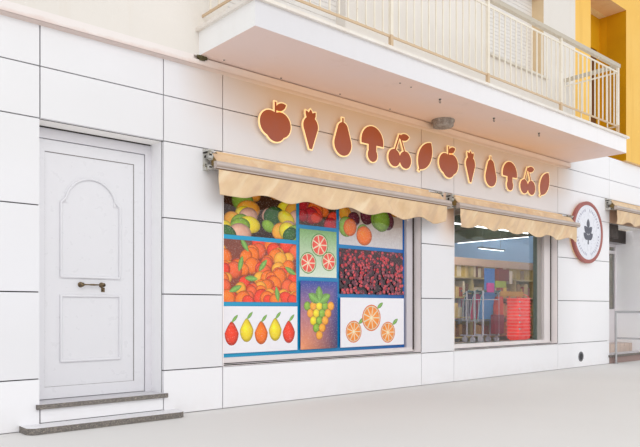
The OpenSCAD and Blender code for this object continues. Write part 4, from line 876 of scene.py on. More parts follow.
# %% Ink kit: flat shapes with a colour at each vertex
class Ink:
    """Flat coloured patches on the film, each layer a little in front of the one before."""

    def __init__(self, left, foot, out):
        self.bm = bmesh.new()
        self.shade = self.bm.loops.layers.float_color.new("ink")
        self.left, self.foot, self.out, self.field = left, foot, out, None

    def corner(self, a, u):
        """A new point, kept inside the open field."""
        low_a, low_u, high_a, high_u = self.field
        return self.bm.verts.new(spot(self.left + min(max(a, low_a), high_a), self.out,
                                      self.foot + min(max(u, low_u), high_u)))

    def face(self, corners, colours):
        for loop, colour in zip(self.bm.faces.new(corners).loops, colours):
            loop[self.shade] = paint(colour)

    def lift(self):
        self.out += 0.00004

    def panel(self, low_a, low_u, high_a, high_u, foot_colour, head_colour, side_colour=None):
        """Opens a new field and fills its ground, shaded from foot to head."""
        self.field = (low_a, low_u, high_a, high_u)
        around = ((low_a, low_u), (high_a, low_u), (high_a, high_u), (low_a, high_u))
        corners = [self.corner(*at) for at in around]
        self.face(corners, (foot_colour, side_colour or foot_colour, head_colour, head_colour))
        self.lift()

    def fruit(self, a, u, r, colour, squash=1.0, tilt=0.0, neck=0.0):
        """A round shape, light towards the upper left and dark at its rim. A pear has a neck."""
        rings = ((0.0, tone(colour, 1.6)), (0.35, tone(colour, 1.3)), (0.75, colour), (1.0, tone(colour, 0.42)))
        turned, sides = Matrix.Rotation(tilt, 2), 20
        last = None
        for share, shade in rings:
            ring = []
            for t in circle(sides if share else 1):
                wide = 1 - neck * max(math.sin(t), 0)
                at = Vector((-0.30, 0.34)) * r * (1 - share)
                at = turned @ (at + Vector((math.cos(t) * wide, math.sin(t) * squash)) * r * share)
                ring.append(self.corner(a + at.x, u + at.y))
            if last:
                inner, inner_shade = last
                for k in range(sides):
                    j = (k + 1) % sides
                    if len(inner) == 1:
                        self.face((inner[0], ring[k], ring[j]), (inner_shade, shade, shade))
                    else:
                        shades = (inner_shade, shade, shade, inner_shade)
                        self.face((inner[k], ring[k], ring[j], inner[j]), shades)
            last = (ring, shade)
        self.lift()

    def leaf(self, a, u, length, width, tilt, colour):
        """A pointed leaf, lighter along its middle."""
        turned, n = Matrix.Rotation(tilt, 2), 8
        for side in (-1, 1):
            for k in range(n):
                ends = []
                for s in (k / n, (k + 1) / n):
                    edge = side * width / 2 * math.sin(math.pi * s) ** 0.8
                    ends.append((turned @ Vector((length * s, 0)), turned @ Vector((length * s, edge))))
                quad = (ends[0][0], ends[1][0], ends[1][1], ends[0][1])
                self.face([self.corner(a + p.x, u + p.y) for p in quad],
                          [tone(colour, share) for share in (1.5, 1.5, 0.7, 0.7)])
        self.lift()

    def slice(self, a, u, r, rind, flesh, wedges=9):
        """A cut citrus slice: rind, pale pith and wedges."""
        for radius, colour in ((r, rind), (r * 0.91, (250, 236, 200))):
            hub = self.corner(a, u)
            rim = [self.corner(a + radius * math.cos(t), u + radius * math.sin(t)) for t in circle(24)]
            for here, after in zip(rim, rim[1:] + rim[:1]):
                self.face((hub, here, after), (colour, tone(colour, 0.8), tone(colour, 0.8)))
            self.lift()
        for k in range(wedges):
            start, end = 2 * math.pi * (k + 0.08) / wedges, 2 * math.pi * (k + 0.92) / wedges
            middle = (start + end) / 2
            wedge = [(0.1, middle), (0.84, start), (0.84, middle), (0.84, end)]
            points = [self.corner(a + r * share * math.cos(t), u + r * share * math.sin(t))
                      for share, t in wedge]
            self.face(points, (tone(flesh, 1.3), flesh, tone(flesh, 0.85), flesh))
        self.lift()


print("inks mixed")

# %% Open the film, and a way to heap fruit
film_low, film_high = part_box("window_film")
ink = Ink(film_low.x - LEFT_X, film_low.z, FACE_Y - film_low.y + 0.0002)
RIGHT = film_high.x - film_low.x - 0.035
dice = random.Random(31)

ORANGE, AMBER, LEMON = (246, 112, 30), (248, 160, 50), (240, 208, 40)
TOMATO, CHERRY, PLUM = (236, 62, 36), (176, 30, 44), (96, 30, 52)
LIME, MELON, ONION, LEAF = (132, 170, 56), (52, 96, 46), (214, 160, 138), (116, 160, 76)
PAPER, NIGHT, SHADE = (243, 241, 247), (48, 26, 20), (76, 44, 28)


def heap(kinds, count, size, low=0.0, high=1.0, squash=1.0):
    """Heaps fruit over the open field, the far ones first."""
    low_a, low_u, high_a, high_u = ink.field
    for level in sorted((dice.uniform(low, high) for _ in range(count)), reverse=True):
        r = size * dice.uniform(0.75, 1.25)
        ink.fruit(dice.uniform(low_a, high_a), low_u + level * (high_u - low_u), r, dice.choice(kinds),
                  squash * dice.uniform(0.8, 1.0), dice.uniform(-0.6, 0.6))


print("film", round(film_high.x - film_low.x, 3), "m wide")

# %% The upper fields
ink.panel(0.0, 1.24, 0.98, 1.85, NIGHT, SHADE)
heap((AMBER, ONION, LIME, LEMON, MELON), 34, 0.12, squash=0.8)
ink.panel(1.025, 1.42, 1.58, 1.85, (70, 42, 30), (96, 66, 30))
heap((TOMATO, ORANGE, CHERRY), 20, 0.10, squash=0.9)
ink.panel(1.625, 1.24, RIGHT, 1.85, (206, 202, 206), (190, 150, 110))
heap((PLUM, AMBER, LIME, ORANGE), 18, 0.12, 0.15, 0.9)

ink.panel(0.0, 0.56, 0.98, 1.195, (150, 60, 40), (130, 70, 56))
heap((ORANGE, AMBER, ORANGE, TOMATO, (232, 92, 48)), 80, 0.085, squash=0.95)
for k in range(7):
    ink.leaf(0.10 + 0.12 * k, 0.66 + 0.07 * (k * 3 % 7), 0.17, 0.06, 0.4 + 0.9 * k, LEAF)
ink.panel(1.025, 0.845, 1.58, 1.375, (222, 232, 214), (130, 176, 110))
for a, u, r in ((1.15, 1.00, 0.12), (1.46, 1.03, 0.11), (1.32, 1.21, 0.13)):
    ink.slice(a, u, r, (96, 150, 66), (240, 84, 70), 7)
ink.panel(1.625, 0.665, RIGHT, 1.195, (36, 12, 26), (58, 22, 34))
heap((CHERRY, PLUM, PLUM, (150, 60, 74), (190, 60, 70)), 420, 0.022)
print("upper fields printed")

# %% The lower fields: pears, grapes and orange slices
ink.panel(0.0, 0.04, 0.98, 0.515, PAPER, PAPER)
for k, colour in enumerate((TOMATO, LEMON, ORANGE, LEMON, TOMATO)):
    pear, lifted = 0.12 + 0.185 * k, 0.03 * (k % 2)
    ink.fruit(pear, 0.24 + lifted, 0.085, colour, 1.45, neck=0.52)
    ink.leaf(pear, 0.35 + lifted, 0.11, 0.035, 0.8, LEAF)
ink.panel(1.025, 0.04, 1.58, 0.80, (242, 150, 100), (36, 74, 160), (48, 50, 96))
for row in range(5):
    for k in range(5 - row):
        grape = (LIME, AMBER, LEMON)[(k + row) % 3]
        ink.fruit(1.30 + 0.088 * (k + row / 2 - 2), 0.52 - 0.082 * row, 0.052, grape)
for tilt in (0.5, 1.6, 2.6):
    ink.leaf(1.30, 0.56, 0.19, 0.11, tilt, LEAF)
ink.panel(1.625, 0.04, RIGHT, 0.62, PAPER, PAPER)
for a, u, r in ((1.84, 0.22, 0.13), (2.14, 0.38, 0.16), (2.43, 0.20, 0.13)):
    ink.slice(a, u, r, ORANGE, (250, 140, 50))
    ink.leaf(a + 0.6 * r, u + 0.7 * r, 0.13, 0.05, 0.6, LEAF)
print("lower fields printed")

# %% Finish the film and its ink
GLOSSY = {"Coat_Weight": 0.9, "Coat_Roughness": 0.03, "Specular_IOR_Level": 0.1}


def print_ink():
    """Printed ink under a clear gloss: the vertex colours with a faint raster."""
    made = Finish("Printed ink", 0.3, **GLOSSY)
    colours = made.node("Attribute", {"attribute_name": "ink"}).outputs["Color"]
    mottle = made.blend(made.band(made.cloud(34, 6, 0.7)), (0.38, 0.36, 0.36, 1), (0.74, 0.76, 0.74, 1))
    mottled = made.blend(0.4, colours, mottle, "OVERLAY")
    return made.done(made.blend(made.band(made.cloud(90, 4), 0.56, 0.72, 0, 0.25), mottled, (252, 248, 240)),
                     made.spread(made.cloud(5, 4), 0.08, 0.16), (made.cloud(0.9, 2), 0.0008))


def film_ground():
    """Blue film, cyan at the left and deep blue at the right."""
    made = Finish("Film ground", 0.3, **GLOSSY)
    along = made.sum(made.part("X"), made.spread(made.cloud(1.6, 3), -0.12, 0.12))
    return made.done(made.blend(made.band(along, film_low.x, film_high.x), (26, 170, 214), (0, 92, 176)),
                     made.spread(made.cloud(5, 4), 0.12, 0.24), (made.cloud(0.9, 2), 0.0012))


dress(film_ground(), "window_film")
print_piece = piece("window_print", ink.bm, print_ink(), tidy=False)
print("print has", len(print_piece.data.polygons), "patches")

# %% [markdown]
# ## The lit sign
# Every raised shape is a brown face on a body in the wall's colour. A narrow rim of cream acrylic is lit
# from inside and glows all round the face. The glow is a real emission. It is weak beside daylight, so the
# finishes of the wall and of the balcony's underside add a soft tan where the sign has lit them. The rims
# are made from the faces' own outlines, each corner pushed outwards, so they always fit the shapes.

# %% Glowing rims and brown faces
def lit_acrylic(name, strength):
    made = Finish(name, 0.4, Emission_Strength=strength)
    made.glow(made.mottle((1.0, 0.62, 0.24, 1), (1.0, 0.70, 0.32, 1), 5, 3))
    return made.done(made.mottle((250, 222, 170), (246, 214, 150), 9, 3), None, (made.cloud(200, 2), 0.00004))


def brown_face():
    made = Finish("Brown sign face", 0.34)
    high = made.sum(made.reach("Z", 2.66, 3.02), made.spread(made.cloud(7, 4), -0.15, 0.15))
    return made.done(made.blend(high, (160, 84, 64), (174, 76, 16)), made.spread(made.cloud(12, 4), 0.28, 0.44),
                     (made.cloud(300, 2), 0.00004))


dress(brown_face(), "sign_faces")

# %% The outlines of the faces
def outlines(node):
    """The closed edges of a plate's street side, as (before, here, after) points in order."""
    flat = bmesh.new()
    flat.from_mesh(NODES[node].data)
    flat.transform(NODES[node].matrix_world)
    bmesh.ops.remove_doubles(flat, verts=flat.verts, dist=0.00002)
    flat.normal_update()
    street = {face for face in flat.faces if face.normal.y < -0.9}
    after = {loop.vert: loop.link_loop_next.vert for face in street for loop in face.loops
             if not any(other in street for other in loop.edge.link_faces if other is not face)}
    before = {end: start for start, end in after.items()}
    around = [tuple(corner.co.copy() for corner in (before[vert], vert, after[vert]))
              for vert in after if vert in before]
    flat.free()
    return around


print("corners round the sign's faces:", len(outlines("sign_faces")))

# %% A lit rim round the edge of every face
RIM_W, RIM_T = 0.013, 0.016


def pushed(before, here, after, by):
    """A corner of an outline moved outwards, so that both its edges move by the same distance."""
    sides = [Vector(((b - a).z, 0, -(b - a).x)).normalized() for a, b in ((before, here), (here, after))]
    middle = sides[0] + sides[1]
    return here + middle * by / max(0.55, middle.dot(sides[0]))


rims, corners = bmesh.new(), {}
front_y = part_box("sign_faces")[0].y + 0.002
around = outlines("sign_faces")
for before, here, after in around:
    both = (here, pushed(before, here, after, RIM_W))
    corners[tuple(here)] = [rims.verts.new((at.x, y, at.z)) for at in both for y in (front_y, front_y + RIM_T)]
for before, here, after in around:
    start, end = corners[tuple(here)], corners[tuple(after)]
    for a, b in ((0, 2), (2, 3), (3, 1), (1, 0)):
        rims.faces.new((start[a], start[b], end[b], end[a]))
piece("sign_rims", rims, lit_acrylic("Lit acrylic", 0.42))
print("rims from", len(around), "corners")

# %% [markdown]
# ## The round sign
# The round sign is a shallow drum: a brown-red rim, a milky disc and lit sides. A plain sprig with leaves
# stands in its middle, with a ring of small dashes around it. The solid gives the place and size. A turned
# rim, disc and body replace it, because each has its own finish.

# %% Rim, disc and lit side
round_low, round_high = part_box("round_sign")
round_at, round_up = (round_low.x + round_high.x) / 2 - LEFT_X, (round_low.z + round_high.z) / 2
round_r, round_out = (round_high.x - round_low.x) / 2, FACE_Y - round_low.y
RING_W = 0.062


def round_part(name, profile, finish, closed=False):
    """One turned part: its profile runs inwards from the sign's edge and back from its front."""
    profile = [(round_r - r, round_out - h) for r, h in profile]
    bm = bmesh.new()
    turn(bm, profile, spot(round_at, 0, round_up), (0, -1, 0), 96, closed=closed)
    return piece(f"round_sign_{name}", bm, finish, smooth=35, replaces="round_sign")


round_part("body", [(0.034, round_out), (0.030, round_out - 0.004), (0.026, round_out - 0.006), (0.022, 0.058),
                    (0.030, 0.021)], lit_acrylic("Dim acrylic", 0.25))
round_part("rim", [(0.003, 0.056), (0, 0.006), (0.006, 0), (RING_W - 0.006, 0), (RING_W, 0.006),
                   (RING_W, 0.014), (0.024, 0.020), (0.012, 0.056)],
           lacquer("Rim red-brown", (166, 92, 84), 0.4, 0.05), closed=True)
round_part("disc", [(RING_W - 0.002, 0.021), (RING_W - 0.002, 0.009), (round_r * 0.5, 0.007),
                    (round_r - 0.004, 0.0065)], lacquer("Milky disc", (236, 238, 247), 0.28, 0.02))
print("round sign radius", round(round_r, 3))

# %% The sprig and its ring of dashes
def turned(outline, angle, up=0.0):
    """An outline raised by up and then turned from the upright."""
    c, s = math.cos(angle), math.sin(angle)
    return [(a * c + (u + up) * s, -a * s + (u + up) * c) for a, u in outline]


def leaf_outline(length, width, n=10):
    """A pointed leaf's outline from its foot."""
    side = [(math.sin(math.pi * k / n) ** 0.85 * width / 2, length * k / n) for k in range(n + 1)]
    return side + [(-a, u) for a, u in side[-2:0:-1]]


motif, dashes = bmesh.new(), bmesh.new()
on_disc = round_out - 0.0085
stem = [(-0.020, -0.20), (0.020, -0.20), (0.012, 0.12), (-0.012, 0.12)]
plate(motif, stem, round_at, round_up, on_disc, 0.0035)
for up, tilt, size in ((-0.12, 1.0, 0.19), (-0.12, -1.0, 0.19), (-0.02, 0.85, 0.18), (-0.02, -0.85, 0.18),
                       (0.05, 0.0, 0.18)):
    outline = turned(leaf_outline(size, size * 0.58), tilt)
    plate(motif, outline, round_at, round_up + up, on_disc + 0.0002, 0.0035)
for k, angle in enumerate(circle(44)):
    wide, tall = 0.009 + 0.006 * (k % 3 == 0), 0.020
    if k % 11 not in (0, 10):
        outline = turned([(-wide, -tall), (wide, -tall), (wide, tall), (-wide, tall)], angle, 0.375)
        plate(dashes, outline, round_at, round_up, on_disc, 0.0028)
piece("round_sign_sprig", motif, lacquer("Sprig grey", (84, 86, 100), 0.4, 0.05))
piece("round_sign_dashes", dashes, lacquer("Dash grey", (184, 184, 200), 0.4, 0.05))
print("sprig and dashes", round(on_disc, 3), "m out")

# %% [markdown]
# ## Awning frames
# The bars, brackets and folded arms are pale painted aluminium, lavender-white where the sky lights them.
# The solids have their true shape. Small parts make them believable: a rounded cover on the front bar,
# bolts and dark slots on the brackets, dark blocks over both ends of the roller, a strip against the wall,
# and an olive plate in the open left end, painted shade that stands for the canopy's shaded underside.

# %% Painted aluminium
def awning_paint():
    made = Finish("Awning aluminium", 0.38, Specular_IOR_Level=0.5)
    base = made.mottle((208, 196, 190), (196, 184, 176), 3, 5)
    grime = made.band(made.cloud(1.0, 6, 0.6, stretch=(7, 7, 2)), 0.52, 0.8, 0, 0.4)
    # Painted shade: faces that look down, like the underside of the bar, are painted brown.
    bar = made.blend(made.facing("Z", 0.25, -0.75), made.blend(grime, base, (186, 170, 152)), (150, 126, 108))
    # Near the wall the frames are blotched grey and olive; the olive is painted shade from the canopy.
    blotched_shade = made.blend(made.band(made.cloud(14, 4), 0.52, 0.66), (198, 196, 190), (150, 138, 102))
    return made.done(made.blend(made.reach("Y", FACE_Y - 0.135, FACE_Y - 0.110), bar, blotched_shade),
                     made.spread(made.cloud(18, 4), 0.3, 0.5), (made.cloud(240, 3), 0.00006))


FRAMES = [f"awning_{side}_frame" for side in ("left", "right", "entrance")]
AWNING_PAINT = awning_paint()
STRIP_PAINT = lacquer("Strip sand", (232, 200, 156), 0.5, 0.05)
END_SHADE_PAINT = lacquer("Awning end shade olive", (138, 112, 62), 0.6, 0.15)
dress(AWNING_PAINT, *FRAMES)
soften(0.003, *FRAMES)
print("paint for", ", ".join(FRAMES))

# %% Fittings of every awning
ROLLER_OUT, ROLLER_UP, ROLLER_R = 0.062, 2.424, 0.036
BAR_BACK, BAR_FRONT, BAR_FOOT, BAR_HEAD = 0.155, 0.205, 2.292, 2.360
CLOTH_IN, BRACKET_W = (0.030, 0.075), 0.052
AWNINGS = {"left": ((2.190, 5.730), 0.27, 0.0), "right": ((5.900, 9.075), 0.16, 0.0),
           "entrance": ((10.385, 12.330), 0.16, 0.42)}


def bar_cover(side, span, lift):
    """The rounded front of the bar, drawn as one long profile."""
    middle, tall = (BAR_FOOT + BAR_HEAD) / 2 + lift, (BAR_HEAD - BAR_FOOT) / 2 + 0.001
    profile = [(BAR_BACK + 0.020 + 0.038 * math.sin(t), middle + tall * math.cos(t))
               for t in (math.pi * k / 14 for k in range(15))]
    profile = [(BAR_BACK + 0.004, middle + tall), *profile, (BAR_BACK + 0.004, middle - tall)]
    bm = bmesh.new()
    loft(bm, [[spot(at, out, up) for out, up in profile] for at in (span[0] - 0.002, span[1] + 0.002)])
    piece(f"awning_{side}_bar_cover", bm, AWNING_PAINT, smooth=40)


def fittings(side, span, lift):
    """Dark blocks over the roller's ends, bolts and slots of one awning."""
    bm, face, roller = bmesh.new(), ROLLER_OUT + ROLLER_R, ROLLER_UP + lift
    for end, way, inset in ((span[0], -1, CLOTH_IN[0]), (span[1], 1, CLOTH_IN[1])):
        cover = (end - 0.03, end + 0.10) if way < 0 else (end - inset - 0.17, end - inset + 0.02)
        block(bm, spot(cover[0], 0.004, roller + 0.032),
              spot(cover[1], ROLLER_OUT + 0.006, roller + 0.044), 0.004)
        at = end - way * inset + way * (0.004 + BRACKET_W / 2)
        for up in (-0.105, -0.070, 0.066):
            turn(bm, [(0.007, 0), (0.007, 0.004), (0.004, 0.006)], spot(at, 0.014, roller + up), (0, -1, 0), 6)
        for low, high in ((roller + 0.002, roller + 0.020), (BAR_FOOT + lift + 0.018, BAR_FOOT + lift + 0.032)):
            block(bm, spot(at - 0.015, face, low), spot(at + 0.015, face + 0.0015, high), 0.0005)
        side_at = at + way * BRACKET_W / 2
        axle, pin = spot(side_at, 0.046, roller - 0.004), spot(side_at, 0.060, BAR_FOOT + 0.034 + lift)
        turn(bm, [(0.016, 0), (0.016, 0.002), (0.010, 0.004)], axle, (way, 0, 0), 20)
        turn(bm, [(0.008, 0), (0.008, 0.002)], pin, (way, 0, 0), 16)
    piece(f"awning_{side}_fittings", bm, DARK_GAP)


print("bolts on brackets", BRACKET_W, "m wide")

# %% Strip and open end shade, and all parts of every awning
def strip_and_end_shade(side, span, lift):
    """The strip that closes the slit to the wall, and an olive plate of painted shade between roller, canopy
    and bar.
    """
    blocks(f"awning_{side}_wall_strip", STRIP_PAINT, "awning_metal", 0.003,
           ((span[0] + 0.105, 0.0005, 2.462 + lift), (span[1] - CLOTH_IN[1] - 0.175, 0.040, 2.492 + lift)))
    # Painted shade: an olive plate in the open left end stands for the canopy's shaded underside.
    corners, left = ((0.068, 2.448), (0.158, 2.362), (0.162, 2.340), (0.060, 2.330)), span[0] + CLOTH_IN[0]
    bm = bmesh.new()
    loft(bm, [[spot(left + at, out, up + lift) for out, up in corners] for at in (0.002, 0.006)])
    piece(f"awning_{side}_open_end_shade", bm, END_SHADE_PAINT)


for side, (span, _, lift) in AWNINGS.items():
    fittings(side, span, lift)
    bar_cover(side, span, lift)
    strip_and_end_shade(side, span, lift)
print("fittings for", ", ".join(AWNINGS))

# %% [markdown]
# ## Awning cloth
# Each awning has two cloths. The canopy comes off the roller, runs down to the front bar and is pulled
# tight by the arms, so it only sags a few millimetres and has long faint wrinkles. The valance hangs free
# under the bar: it billows gently and its lower edge is scalloped. A woven sheet like this hardly
# stretches. Both are built from their flat cut as a grid and then bent, which keeps their area. A
# simulation would give the same small sag at a much higher price, so the shape is modelled instead.

# %% Woven cloth
def awning_cloth():
    """Sand-coloured acrylic weave, a little faded, lit through by the sky, with painted highlights and shade
    along its slanted creases.
    """
    made = Finish("Awning weave", 0.85, Sheen_Weight=0.25, Sheen_Roughness=0.5, Specular_IOR_Level=0.2)
    faded = made.blend(made.band(made.cloud(2.6, 6, 0.6)), (227, 193, 151), (243, 215, 177))
    rosy = made.blend(made.band(made.cloud(5.5, 5, 0.6), 0.52, 0.72, 0, 0.5), faded, (232, 192, 160))
    streaks = made.band(made.cloud(1.0, 5, 0.6, stretch=(10, 10, 1.2)), 0.5, 0.85, 0, 0.14)
    soiled = made.blend(streaks, rosy, (206, 170, 128))
    weave = made.sum(*(made.node("TexWave", {"bands_direction": way, "wave_profile": "SIN"}, Vector=made.place,
                                 Scale=210.0, Distortion=0.4, Detail=1.0).outputs["Fac"] for way in ("X", "Z")))
    slanted = made.node("Mapping", {"vector_type": "TEXTURE"}, Vector=made.place, Rotation=(0, 0.7, 0),
                        Scale=(0.13, 0.13, 0.60)).outputs["Vector"]
    folds = made.node("TexNoise", Vector=slanted, Scale=1.0, Detail=3.0, Roughness=0.5).outputs["Fac"]
    # Painted highlights on the crests of the slanted creases, and painted shade in their hollows.
    ridge_highlights = made.blend(made.band(folds, 0.56, 0.70, 0, 0.6), soiled, (255, 236, 204))
    folded = made.blend(made.band(folds, 0.48, 0.32, 0, 0.6), ridge_highlights, (208, 176, 148))
    return made.done(made.blend(made.band(weave, 0.2, 1.8, 0, 0.12), folded, tone((206, 170, 128), 0.7)),
                     made.band(weave, 0.2, 1.8, 0.78, 0.92),
                     (weave, 0.00015), (made.cloud(60, 3), 0.0002), (folds, 0.010))


CLOTH, CLOTH_T = awning_cloth(), 0.0012
print("cloth", CLOTH_T * 1000, "mm thick")

# %% A sheet from a grid
def ripple(x, y, seed):
    """Smooth noise from -1 to 1 that is the same on every run."""
    return noise.noise(Vector((x, y, seed)))


def grid_cloth(name, columns, rows, shape):
    """A sheet from a grid: shape gives each point from its shares across and down. It gets a thickness."""
    bm = bmesh.new()
    net = [[bm.verts.new(shape(i / columns, j / rows)) for i in range(columns + 1)] for j in range(rows + 1)]
    for low, high in zip(net, net[1:]):
        for i in range(columns):
            bm.faces.new((low[i], low[i + 1], high[i + 1], high[i]))
    made = piece(name, bm, CLOTH, smooth=180)
    thick = made.modifiers.new("Thickness", "SOLIDIFY")
    thick.thickness, thick.offset = CLOTH_T, 0.0
    return made


print("grid ready")

# %% The canopy's side view
OVER_BAR = Vector((BAR_BACK + 0.010, BAR_HEAD + 0.0025))


def canopy_line():
    """Round the roller, down to the bar and over its top; each point also says how free the cloth is."""
    r, axle = ROLLER_R + 0.0008, Vector((ROLLER_OUT, ROLLER_UP))
    back = OVER_BAR - axle
    first, leaves = math.radians(245), math.atan2(back.y, back.x) + math.acos(r / back.length)
    turns = [first + (leaves - first) * k / 18 for k in range(19)]
    line = [(axle + r * Vector((math.cos(t), math.sin(t))), 0.0) for t in turns]
    start = line[-1][0]
    for s in (k / 12 for k in range(1, 13)):
        free = math.sin(math.pi * s)
        line.append((start.lerp(OVER_BAR, s) - Vector((0, 0.004 * free)), free))
    return line + [(OVER_BAR + Vector((0.014, 0)), 0.0)]


SIDE_VIEW = canopy_line()

# %% The canopy
def canopy(side, left, right, lift, seed):
    rows = len(SIDE_VIEW) - 1

    def shape(s, t):
        (out, up), free = SIDE_VIEW[round(t * rows)]
        along = left + (right - left) * s
        broad, fine = ripple(along * 1.7, up * 6, seed), ripple(along * 9 + up * 30, 0, seed)
        wrinkle = free * (0.0028 * broad + 0.0016 * fine)
        return spot(along, out + wrinkle, up + wrinkle + lift)

    made = grid_cloth(f"awning_{side}_canopy", int((right - left) / 0.025), rows, shape)
    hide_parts(f"awning_{side}_cloth")
    return made


print("canopy in", len(SIDE_VIEW) - 1, "rows")

# %% The valance, and both cloths of every awning
VALANCE_H, SCALLOP_D, SCALLOP_W = 0.248, 0.052, 0.59
WELT = lacquer("Welt brown", (132, 94, 60), 0.7, 0.1)


def crease(along, down, seed):
    """Shallow folds that run slanting down the valance; each family comes and goes along it."""
    total = 0.0
    for k, (slant, wide) in enumerate(((1.3, 0.34), (-1.5, 0.45), (0.5, 0.27), (-0.7, 0.19))):
        at = (along + slant * down) / wide + seed * (k + 1)
        strength = max(0.0, ripple(along * 1.1, down * 2 + k, seed + k) + 0.15)
        total += strength * (abs(at % 1.0 - 0.5) - 0.25) * 4 * (0.6 if k < 2 else 0.35)
    return total


def valance(side, left, right, first_dip, lift, seed):
    hung_out = BAR_FRONT - 0.012

    def shape(s, t):
        along = left + (right - left) * s
        edge = SCALLOP_D / 2 * (1 - math.cos(2 * math.pi * (along - first_dip) / SCALLOP_W))
        swing = 0.016 * math.sin(2 * math.pi * along / 0.74 + seed)
        billow = t ** 1.2 * (swing + 0.020 * ripple(along * 2.3, t, seed))
        fold = min(1.0, 2.5 * t) * 0.026 * crease(along, t * VALANCE_H, seed)
        edge *= min(1.0, max(0.0, (along - left) / 0.30 - 0.35))
        flutter = t ** 2 * 0.006 * ripple(along * 9, t * 2, seed + 5)
        return spot(along, hung_out + billow + fold + flutter, BAR_FOOT - (VALANCE_H - edge) * t + lift)

    made = grid_cloth(f"awning_{side}_valance", int((right - left) / 0.016), 18, shape)
    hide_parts(f"awning_{side}_cloth")
    welt = bmesh.new()
    sweep(welt, [spot(at, hung_out, BAR_FOOT - 0.004 + lift) for at in (left, right)], 0.0045, 10)
    welt_piece = piece(f"awning_{side}_welt", welt, WELT, smooth=35)
    return made


for number, (side, (span, low_at, lift)) in enumerate(AWNINGS.items()):
    left, right = span[0] + CLOTH_IN[0], span[1] - CLOTH_IN[1]
    canopy(side, left, right, lift, 3.1 + number)
    valance(side, left, right, span[0] + low_at, lift, 7.7 + number)
print("valance height", VALANCE_H)

# %% [markdown]
# ## Vent and entrance
# Low on the pier under the round sign is a small dark vent with slats. The entrance at the far right has a
# stainless handrail, glass doors and a roller shutter box. The steel gets a fine brushed grain that runs
# along the tube.

# %% Vent slats, shutter housing and brushed steel
dress(grained("Brushed steel", (176, 176, 178), (206, 206, 208), (1.0, 4, 0.6, (700, 700, 9)), (0.24, 0.40),
              0.00003, rough=0.3, Metallic=1.0), "entrance_handrail")
blocks("entrance_shutter_housing", lacquer("Housing brown", (60, 48, 42), 0.6, 0.1), "dark_plastic", 0.006,
       ((10.535, -0.045, 2.262), (10.985, -0.400, 2.506)))
VENT_GREY, VENT_R, SLAT_PITCH = lacquer("Vent grey", (112, 112, 116), 0.5, 0.08), 0.054, 0.0145
dress(VENT_GREY, "vent_sleeve")
vent_low, vent_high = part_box("vent_sleeve")
vent_at, vent_up = (vent_low.x + vent_high.x) / 2 - LEFT_X, (vent_low.z + vent_high.z) / 2
slats = [(k * SLAT_PITCH, math.sqrt(VENT_R ** 2 - (k * SLAT_PITCH) ** 2)) for k in range(-3, 4)]
blocks("vent_slats", VENT_GREY, "dark_plastic", 0.0008,
       *[((vent_at - half, -0.012, vent_up + up - 0.003), (vent_at + half, -0.003, vent_up + up + 0.002))
         for up, half in slats])
print(len(slats), "slats in the vent")

# %% [markdown]
# ## Inside the shop
# Through the second window the shop shows trolleys, red baskets and shelves. It is lit by its own strip
# lights, whose tubes are white emission, and by panels in the ceiling. The shelves stand well back, so
# simple boxes in many colours are enough for the goods. The baskets and the lights are near enough to show
# their make, so finer ones stand in for the plain solids.

# %% Floor tiles, roof gravel and trolleys
def floor_tiles():
    made = Finish("Floor tiles", 0.35)
    tile = made.tiles((210, 188, 174), (202, 179, 165), (140, 134, 126), 0.4, 0.4, 0.004)
    return made.done(made.blend(made.band(made.cloud(3, 6), 0.4, 0.8, 0, 0.3), tile["Color"], (160, 152, 142)),
                     made.spread(made.cloud(6, 4), 0.26, 0.5),
                     (tile["Fac"], -0.001), (made.cloud(60, 3), 0.0002))


def roof_gravel():
    made = Finish("Roof gravel", 0.95)
    stones = made.node("TexVoronoi", Vector=made.place, Scale=38.0).outputs
    shade = made.part("Y", stones["Color"])
    gravel = made.blend(shade, (150, 144, 134), (198, 190, 176))
    return made.done(made.blend(made.facing("Z", -0.5, -0.8), gravel, (255, 232, 180)),
                     made.band(shade, 0, 1, 0.85, 1.0), (stones["Distance"], -0.02), (made.cloud(1.2, 4), 0.02))


dress(floor_tiles(), "shop_floor", "lobby_floor", "upper_floor_slab")
dress(roof_gravel(), "roof_slab")
dress(lacquer("Trolley zinc", (176, 176, 190), 0.35, 0.1), "trolley_row")

# %% Strip lights and ceiling panels
def glowing(name, strength):
    made = Finish(name, 0.4, Emission_Strength=strength)
    made.glow(made.mottle((0.94, 0.97, 1, 1), (1, 1, 1, 1), 3, 2))
    return made.done(made.mottle((250, 250, 250), (240, 244, 248), 8, 2), None, (made.cloud(50, 2), 0.00005))


